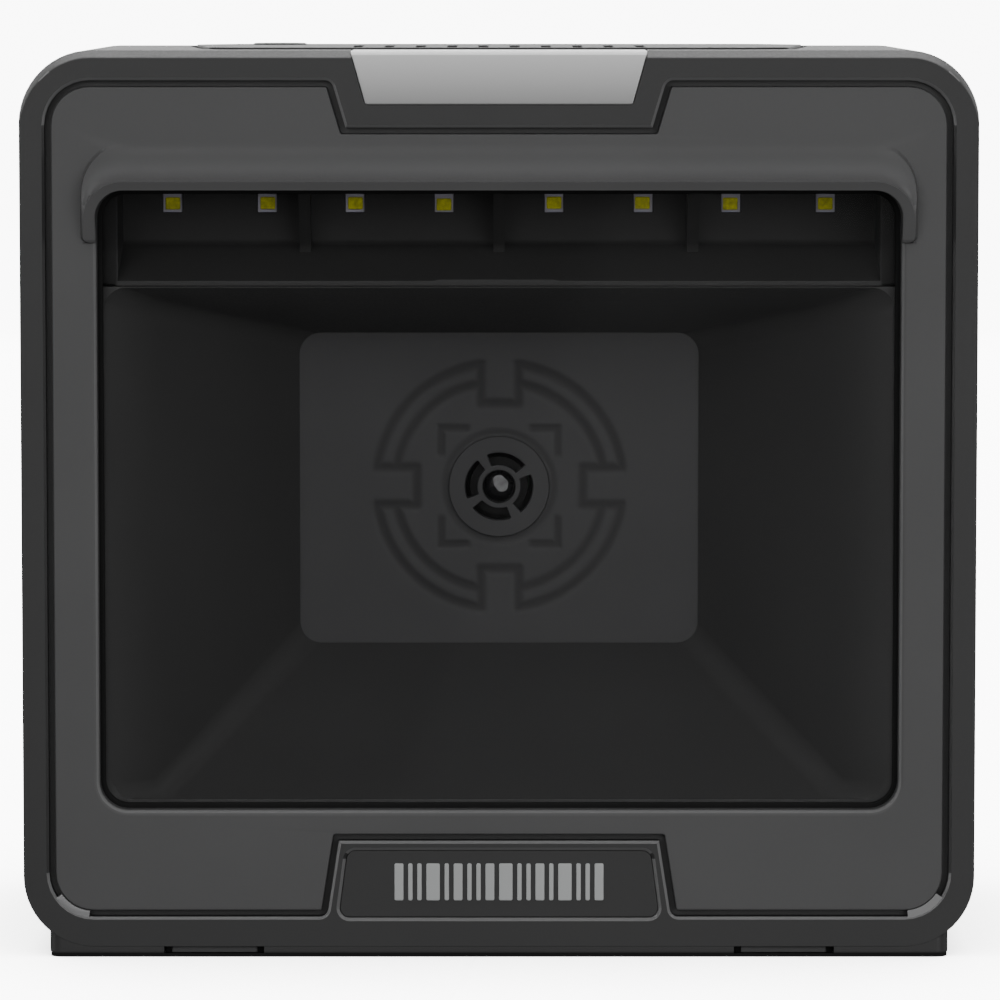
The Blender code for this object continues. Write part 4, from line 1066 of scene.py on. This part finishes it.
def shroud():
    """The pocket that shades the lamps: three dividers, and a lip along its front edge."""
    front, back, ceiling = at(SHROUD_DEPTHS[0]), at(SHROUD_DEPTHS[1]), POCKET_CEILING
    mouth, rear, over = front - 2.0, back - 1.5, POCKET_CEILING + 0.3
    outer = [(front, 105.9, 0.2), (back, 110.4, 0.2), (back, SHROUD_TOP, 0.2), (front, SHROUD_TOP, 0.2)]
    hollow = [(mouth, 105.8, 0.05), (rear, 111.8, 1.2), (rear, ceiling, 1.2), (mouth, ceiling, 0.05)]
    rib = [(at(17.0), 110.4, 0.2), (at(9.0), over, 0.2), (at(20.5), over, 0.2), (at(20.5), 111.4, 0.2)]
    tab = [(-12.5, 106.1, 0.05), (12.0, 106.1, 0.05), (8.5, 106.85, 1.0), (-9.5, 106.85, 1.0)]
    pocket = prism_mesh(hollow, -POCKET_HALF, POCKET_HALF, "X", 4)
    half = DIVIDER_WIDTH / 2
    added = [prism_mesh(rib, x - half, x + half, "X", 2) for x in DIVIDER_X]
    added.append(box_mesh((-60.5, front, 105.74), (60.5, front + 0.9, 106.3), 0.2))
    added.append(plate_mesh(tab, [], front + 0.9, front, round_edge(0.2, 2), steps=4))
    for low, high in ((-70.2, -60.8), (60.8, 70.2)):
        added.append(box_mesh((low, front, 106.0), (high, front + TUNNEL_FLANGE, 121.8), 0.3))
    half, near, far = LED_HOLE / 2, at(18.0), at(23.0)
    low, high = LED_Z - half, LED_Z + half
    holes = [box_mesh((x - half, near, low), (x + half, far, high), 0.1) for x in led_places()]
    mesh = carved_mesh(prism_mesh(outer, -61.5, 61.5, "X", 3), [pocket])
    mesh = carved_mesh(mesh, added, "UNION")
    mesh = carved_mesh(mesh, holes)
    piece("lamp_shroud", mesh, "shroud", ["led_shroud"])


def led_places():
    """The x of the eight lamps, from left to right."""
    return sorted([-x for x in LED_X] + list(LED_X))


def lamps():
    """Eight square LEDs: a white package round a yellow phosphor that sits a little off its centre."""
    wander = random.Random(5)
    for index, x in enumerate(led_places()):
        node = f"illumination_led_{index + 1}"
        low, high = extent(node)
        middle = (low.z + high.z) / 2 + wander.uniform(-0.28, 0.02)
        well = box_corners(1.2, middle - 0.98, middle + 0.98, 0.25, x + wander.uniform(-0.15, 0.1))
        package = plate_mesh(
            box_corners(1.5, low.z, high.z, 0.12, x), [well], high.y, low.y,
            round_edge(0.1, 2), cut_edge(0.1), steps=3,
        )
        piece(f"led_package_{index + 1}", package, "package", [node])
        fill = plate_mesh(grown(well, 0.03), [], high.y, low.y + 0.1, round_edge(0.25, 3), steps=3)
        piece(f"led_phosphor_{index + 1}", fill, "phosphor")


def arc_slot(inner, outer, start, sweep, radius=0.2):
    """One arc-shaped opening round the camera's axis, as corners; angles in degrees."""
    steps = 12
    corners = []
    for distance, order in ((outer, range(steps + 1)), (inner, range(steps, -1, -1))):
        for step in order:
            turn = math.radians(start + sweep * step / steps)
            ends = step in (0, steps)
            corners.append(
                (distance * math.cos(turn), CAMERA_Z + distance * math.sin(turn), radius if ends else 0.0)
            )
    return corners


def soft_line(distance, half_width=0.2, soft=1.05):
    """1 on a line and 0 beside it, with soft flanks; distance is from the line's middle."""
    return 1 - smooth_step(abs(distance), half_width, half_width + soft)


def relief(x, z):
    """How deep the smoked window's engraving is at a point, from 0 to 1: a reticle round the camera."""
    across, up = abs(x), abs(z)
    radius = math.hypot(x, z)
    near, far = min(across, up), max(across, up)
    notch_half, notch_end, blend = 3.1, 13.7, 0.8
    depth = max(soft_line(radius - 20.4), soft_line(radius - 17.3))
    depth *= min(1.0, max(0.0, (near - notch_half + blend) / blend))
    if notch_end < far < 20.7:
        depth = max(depth, soft_line(near - notch_half))
    if near < notch_half:
        depth = max(depth, soft_line(far - notch_end))
    else:
        corner = math.hypot(near - notch_half, far - notch_end)
        depth = max(depth, soft_line(corner))
    leg_end = min(1.0, max(0.0, (near - 4.5) / 0.9))
    depth = max(depth, 0.9 * leg_end * soft_line(far - 9.6, 0.3, 0.6)) if near < 10.2 else depth
    return max(depth, 0.7 * soft_line(radius - 8.9, 0.1, 1.0))


def smoked_window():
    """The window in front of the camera, with a soft reticle engraved round the aiming ring."""
    front, back = SMOKED[0].y, SMOKED[1].y
    shape = Shape()
    side = [(0, back)] + [(-inset, front + drop) for inset, drop in round_edge(0.25, 3)]
    outer = shape.rings(box_corners(SMOKED[1].x, SMOKED[0].z, SMOKED[1].z, 4.0), side)
    shape.strip(*outer)
    hole = AIMER_RADIUS + 0.04
    turns = [math.tau * step / 360 for step in range(360)]
    count = 54
    rows = []
    for row in range(count + 1):
        radius = RELIEF_RADIUS - (RELIEF_RADIUS - hole) * row / count
        deepest = RELIEF_DEPTH if 0 < row < count else 0.0
        points = [(radius * math.cos(t), radius * math.sin(t)) for t in turns]
        rows.append(shape.free_ring([(x, CAMERA_Z + z, front + deepest * relief(x, z)) for x, z in points]))
    rear = shape.ring([(hole * math.cos(t), CAMERA_Z + hole * math.sin(t)) for t in turns], back)
    shape.strip(*rows, rear)
    shape.cap(outer[-1], rows[0])
    shape.cap(outer[0], rear)
    mesh = shape.mesh()
    # The engraving's depth as a colour, which the material uses to paint shade into the engraved lines
    shade = mesh.color_attributes.new("engraving", "FLOAT_COLOR", "POINT")
    for vertex, value in zip(mesh.vertices, shade.data):
        x, z = vertex.co.x / MM, vertex.co.z / MM - CAMERA_Z
        inside = hole - 0.01 < math.hypot(x, z) < RELIEF_RADIUS
        depth = relief(x, z) if inside else 0.0
        value.color = (depth, depth, depth, 1.0)
    piece("smoked_window", mesh, "engraved", ["camera_window"], sharp=50)


def aimer():
    """The disc round the camera's glass: four arc-shaped openings and a bore."""
    low, high = extent("aimer_ring")
    slots = [arc_slot(3.6, 5.6, AIMER_START + 90 * index, AIMER_SWEEP) for index in range(4)]
    bore = round_corners(0.0, CAMERA_Z, 2.7)
    mesh = plate_mesh(
        round_corners(0.0, CAMERA_Z, AIMER_RADIUS), [*slots, bore], high.y, low.y,
        round_edge(0.08, 1), cut_edge(0.1), steps=16,
    )
    piece("aimer_disc", mesh, "smoked", ["aimer_ring"])


def front_element():
    """The camera's domed front glass, and a pale bead behind it that is a painted reflection."""
    low, high = extent("lens_glass")
    radius, rise = high.x, 0.7
    curve = (radius ** 2 + rise ** 2) / (2 * rise)
    profile = [(0.0, low.y)]
    for step in range(1, 9):
        out = radius * step / 8
        profile.append((out, low.y + curve - math.sqrt(curve ** 2 - out ** 2)))
    profile += [(radius, high.y), (0.0, high.y)]
    mesh = turned_mesh([(max(r, 0.01), w) for r, w in profile], (0.0, CAMERA_Z), "Y", 40)
    piece("front_element", mesh, "lens", ["lens_glass"])
    # A pale bead behind the dome: a painted reflection, standing for the highlight in the lens
    near = low.y - 0.12
    corners = [(0.2 + x, CAMERA_Z + 0.45 + z, 0.45) for x, z in LENS_GLINT_OUTLINE]
    bead = plate_mesh(corners, [], low.y + 0.5, near, round_edge(0.3, 4), steps=4)
    piece("lens_glint_bead", bead, "painted_lens_glint")


def button():
    """The button's cap, its flange under the panel and its stem: an eased rim round a dished face."""
    top, low = BUTTON[1].z, BUTTON[0].z
    stem, flange, cap = 1.6, BUTTON[1].x - BUTTON_X, BUTTON_RADIUS
    flange_low, flange_high = low + 0.9, low + 1.9
    node_top = CAVITY_TOP
    profile = [
        (0.01, low), (stem, low), (stem, node_top - 0.9), (flange, node_top - 0.9), (flange, node_top + 0.3),
        (cap, node_top + 0.3), (cap, top - 0.45), (cap - 0.12, top - 0.15), (cap - 0.45, top),
        (2.6, top), (2.45, top - 0.12), (2.2, top - 0.22), (1.0, top - 0.3), (0.01, top - 0.32),
    ]
    place = (BUTTON_X, at(BUTTON_DEPTH))
    mesh = turned_mesh(profile, place, "Z", 56)
    piece("button_cap", mesh, "button", ["top_button"], "button", 50)


def status_guide():
    """The clear bar under the panel, with a domed pin in each of the six light holes."""
    low, high = extent("status_light_pipe")
    bar_top = low.z + 1.5
    bodies = [box_mesh((low.x, low.y, low.z), (high.x, high.y, bar_top), 0.2)]
    radius = STATUS_RADIUS - 0.12
    pin = [(0.01, bar_top - 0.4), (radius, bar_top - 0.4), (radius, high.z - 0.35)]
    pin += [(radius * 0.8, high.z - 0.12), (radius * 0.4, high.z - 0.02), (0.01, high.z)]
    bodies += [turned_mesh(pin, (x, at(BUTTON_DEPTH))) for x in STATUS_X]
    piece("status_guide", joined_mesh(bodies), "frosted", ["status_light_pipe"])


def base():
    """The plinth: it hugs the body's lower corners and has a notch for each foot."""
    low, high = extent("base_plate")
    front = at(BASE_FRONT)
    plan = [(low.x, front, 2.0), (high.x, front, 2.0), (high.x, high.y, 6.0), (low.x, high.y, 6.0)]
    plinth = plate_mesh(plan, [], high.z, BASE_UNDERSIDE, round_edge(0.4, 3), axis="Z")
    mesh = carved_mesh(plinth, [prism_mesh(grown(body_corners(), BASE_SEAM), at(81), at(-1))])
    pad = box_mesh((-60.0, at(17.0), BASE_UNDERSIDE + 0.2), (60.0, at(71.0), 3.6), 0.2)
    mesh = carved_mesh(mesh, [pad], "UNION")
    cutters = []
    for node in FEET:
        low, high = extent(node)
        near = at(-1) if "front" in node else low.y - GAP
        far = (high.x + FOOT_GAP, high.y + GAP, 3.05)
        cutters.append(box_mesh((low.x - FOOT_GAP, near, -1.0), far, 0.05))
    for x, y in base_screw_places():
        cutters.append(prism_mesh(round_corners(x, y, 1.5), -1.0, 5.0, "Z"))
        cutters.append(prism_mesh(round_corners(x, y, 2.8), -1.0, 2.2, "Z"))
    piece("base_plinth", carved_mesh(mesh, cutters), "casing", ["base_plate"])
    # A black strip along the base's lowest edge: painted shadow where the base meets the floor
    rim = grown(plan, -0.12)
    edge = round_edge(0.05, 2)
    skirt = plate_mesh(rim, [grown(rim, -1.4)], 0.04, BASE_UNDERSIDE + 0.08, edge, axis="Z")
    piece("base_shadow_skirt", skirt, "rubber")


def feet():
    """Rubber feet, the rear ones with three grip grooves, and round each a dark web that is painted shade in
    the gaps beside the foot.
    """
    for node in FEET:
        low, high = extent(node)
        mesh = box_mesh(low, high, 0.45)
        if "rear" in node:
            middles = [low.x + (high.x - low.x) / 4 * k for k in (1, 2, 3)]
            near, far = low.y - 1, high.y + 1
            grooves = [box_mesh((x - 0.5, near, -1), (x + 0.5, far, 0.5), 0.1) for x in middles]
            mesh = carved_mesh(mesh, grooves)
        piece(node.replace("foot_", "foot_pad_"), mesh, "foot", [node])
        # A black block behind the gaps round the foot: painted shade
        out = FOOT_GAP - 0.05
        web = box_mesh((low.x - out, low.y + 0.7, 0.05), (high.x + out, high.y - 0.7, 2.9), 0.3)
        piece(node.replace("foot_", "foot_shade_web_"), web, "rubber")


def screws():
    """Socket-head screws: a chamfered head with a six-sided socket, over a plain shank."""
    rows = [(f"case_screw_{k + 1}", "Y") for k in range(4)] + [(f"base_screw_{k + 1}", "Z") for k in range(4)]
    for node, axis in rows:
        low, high = extent(node)
        centre = (low + high) / 2
        head = (high.x - low.x) / 2
        if axis == "Y":
            place, tip, face = (centre.x, centre.z), low.y, high.y
        else:
            place, tip, face = (centre.x, centre.y), high.z, low.z
        toward = 1 if face > tip else -1
        under = face - toward * (1.55 if axis == "Y" else 1.25)
        shank, cut = head * 0.52, 0.3
        profile = [
            (0.01, tip), (shank - 0.3, tip), (shank, tip + toward * 0.4), (shank, under), (head, under),
            (head, face - toward * cut), (head - cut, face), (0.01, face),
        ]
        body = turned_mesh(profile, place, axis, 32)
        socket = [
            (place[0] + 1.3 * math.cos(math.tau * k / 6), place[1] + 1.3 * math.sin(math.tau * k / 6), 0.0)
            for k in range(6)
        ]
        depth = face - toward * 0.8
        tool = plate_mesh(socket, [], *sorted((depth, face + toward)), [(0.0, 0.0)], axis=axis)
        mesh = carved_mesh(body, [tool])
        piece(node.replace("_screw_", "_screw_head_"), mesh, "screw", [node])


def host_socket():
    """The ten-way modular socket: its mouth, its latch way and ten gold contacts."""
    low, high = extent("host_jack")
    shell = box_mesh(tuple(low), tuple(high), 0.3)
    mouth_half, mouth_low, mouth_high = 5.95, low.z + 2.0, low.z + 9.0
    cutters = [
        box_mesh((-mouth_half, high.y - 13.0, mouth_low), (mouth_half, high.y + 1, mouth_high), 0.1),
        box_mesh((-3.1, high.y - 13.0, mouth_high - 1), (3.1, high.y + 1, mouth_high + 2.5), 0.1),
    ]
    mesh = carved_mesh(shell, cutters)
    piece("jack_shell", mesh, "black", ["host_jack"])
    tip, heel, foot, top = high.y - 12.5, high.y - 2.2, mouth_low + 0.1, mouth_low + 3.2
    wire = [(tip, foot), (heel, foot), (heel, mouth_low + 0.5), (high.y - 11.0, top), (tip, top)]
    wire = [(y, z, 0.0) for y, z in wire]
    places = [(index - 4.5) * 1.02 for index in range(10)]
    contacts = joined_mesh([prism_mesh(wire, x - 0.22, x + 0.22, "X") for x in places])
    piece("jack_contacts", contacts, "gold")


# Stage ---------------------------------------------------------------------------------------


def camera():
    data = bpy.data.cameras.new("view")
    data.lens = VIEW_LENS
    data.clip_start = 0.01
    data.clip_end = 300.0
    view = placed("view", data)
    tilt = math.radians(VIEW_ELEVATION)
    away = Vector((0, -math.cos(tilt), math.sin(tilt)))
    view.location = (VIEW_AIM + away * VIEW_DISTANCE) * MM
    view.rotation_euler = (math.pi / 2 - tilt, 0, 0)
    bpy.context.scene.camera = view


def backdrop():
    """A pale floor that lights nothing itself; its glow is dimmed near the scanner, which paints a soft
    contact shadow.
    """
    paint = Paint("pale_floor")
    # Ambient occlusion dims the floor's glow near the scanner: a painted contact shadow
    near = paint.add("ShaderNodeAmbientOcclusion", {"Distance": 0.06})
    near.samples = 8
    material = paint.finish({
        "Base Color": (0.86, 0.86, 0.86, 1),
        "Roughness": paint.mapped(paint.noise(600.0), 0.88, 0.92),
        "Specular IOR Level": 0.0,
        "Emission Color": (1, 1, 1, 1),
        "Emission Strength": paint.mapped(near.outputs["AO"], 0.02, 9.0, 0.05, 0.95),
    })
    bm = bmesh.new()
    bmesh.ops.create_circle(bm, cap_ends=True, radius=90, segments=64)
    floor = placed("floor", finished(bm))
    floor.data.materials.append(material)
    floor.visible_diffuse = False
    floor.visible_glossy = False


def area_light(name, place, size, power):
    """A rectangular lamp that looks at the scanner, in metres and watts."""
    data = bpy.data.lights.new(name, "AREA")
    data.shape = "RECTANGLE"
    data.size, data.size_y = size
    data.energy = power
    lamp = placed(name, data)
    lamp.location = place
    lamp.rotation_euler = (Vector(LIGHT_AIM) - Vector(place)).to_track_quat("-Z", "Y").to_euler()
    lamp.visible_camera = False


def lights():
    """Soft studio light: a key from the left and a fill from the right, light from above and behind."""
    world = bpy.data.worlds.new("studio")
    world.use_nodes = True
    sky = world.node_tree.nodes["Background"]
    sky.inputs["Color"].default_value = (1, 1, 1, 1)
    sky.inputs["Strength"].default_value = 0.22
    bpy.context.scene.world = world
    area_light("key", (-0.45, -1.5, 0.55), (0.7, 0.7), 7.4)
    area_light("above", (0.0, -0.75, 1.25), (0.9, 0.4), 2.0)
    area_light("fill", (0.6, -1.5, 0.12), (0.8, 0.8), 8.6)
    area_light("behind", (0.0, 1.5, 0.42), (2.4, 0.6), 12)
    area_light("behind_high", (0.0, 1.1, 1.45), (2.4, 0.6), 25)
    for side in (-1, 1):
        area_light("edge", (side * 1.3, -0.12, 1.25), (0.5, 0.3), 6)
        area_light("rim", (side * 1.6, -0.12, 0.1), (0.25, 0.6), 3)
    sun = bpy.data.lights.new("overhead", "SUN")
    sun.energy = 1.0
    sun.angle = math.radians(40)
    placed("overhead", sun).rotation_euler = (math.radians(-5), 0, 0)


def reflected_card():
    """A soft card behind the camera, seen only as the faint slanting reflection in the glass."""
    paint = Paint("card")
    material = paint.finish({
        "Base Color": (0, 0, 0, 1),
        "Emission Color": (1, 1, 1, 1),
        "Emission Strength": paint.mapped(paint.noise(300.0), 0.52, 0.61),
    })
    corners = [(0.237, 0.6), (1.2, 0.6), (1.2, -0.9), (-0.293, -0.9)]
    mesh = bpy.data.meshes.new("card")
    mesh.from_pydata([(x, CARD_Y, z) for x, z in corners], [], [(0, 1, 2, 3)])
    mesh.materials.append(material)
    card = placed("card", mesh)
    card.visible_camera = False
    card.visible_diffuse = False
    card.visible_shadow = False
    card.visible_transmission = False


camera()
bezel()
corner_glints()
fascia()
housing()
top_panel()
indicator_lens()
badge()
gasket()
glass()
tunnel()
shroud()
lamps()
smoked_window()
aimer()
front_element()
button()
status_guide()
base()
feet()
screws()
host_socket()
backdrop()
lights()
reflected_card()

# Inner pieces that keep their CAD shape, by surface
PLAIN = {
    "green_board": ("main_board", "control_board", "camera_board", "indicator_board"),
    "black_board": ("led_board",),
    "ribbon": ("camera_ffc", "led_ffc"),
    "chip": ("processor_chip",),
    "sensor": ("image_sensor",),
    "steel": ("shield_can", "ballast_plate", "speaker_bracket"),
    "speaker_frame": ("speaker",),
    "paper": ("speaker_cone",),
    "foam": ("speaker_gasket",),
    "switch": ("switch_body",),
    "plunger": ("switch_plunger",),
    "package": ("indicator_led_1", "indicator_led_2", "indicator_led_3"),
    "deep": ("lens_barrel", "camera_bracket", "lens_holder"),
}
for surface, node_names in PLAIN.items():
    for node_name in node_names:
        finish_mesh(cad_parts[node_name], SURFACES[surface])
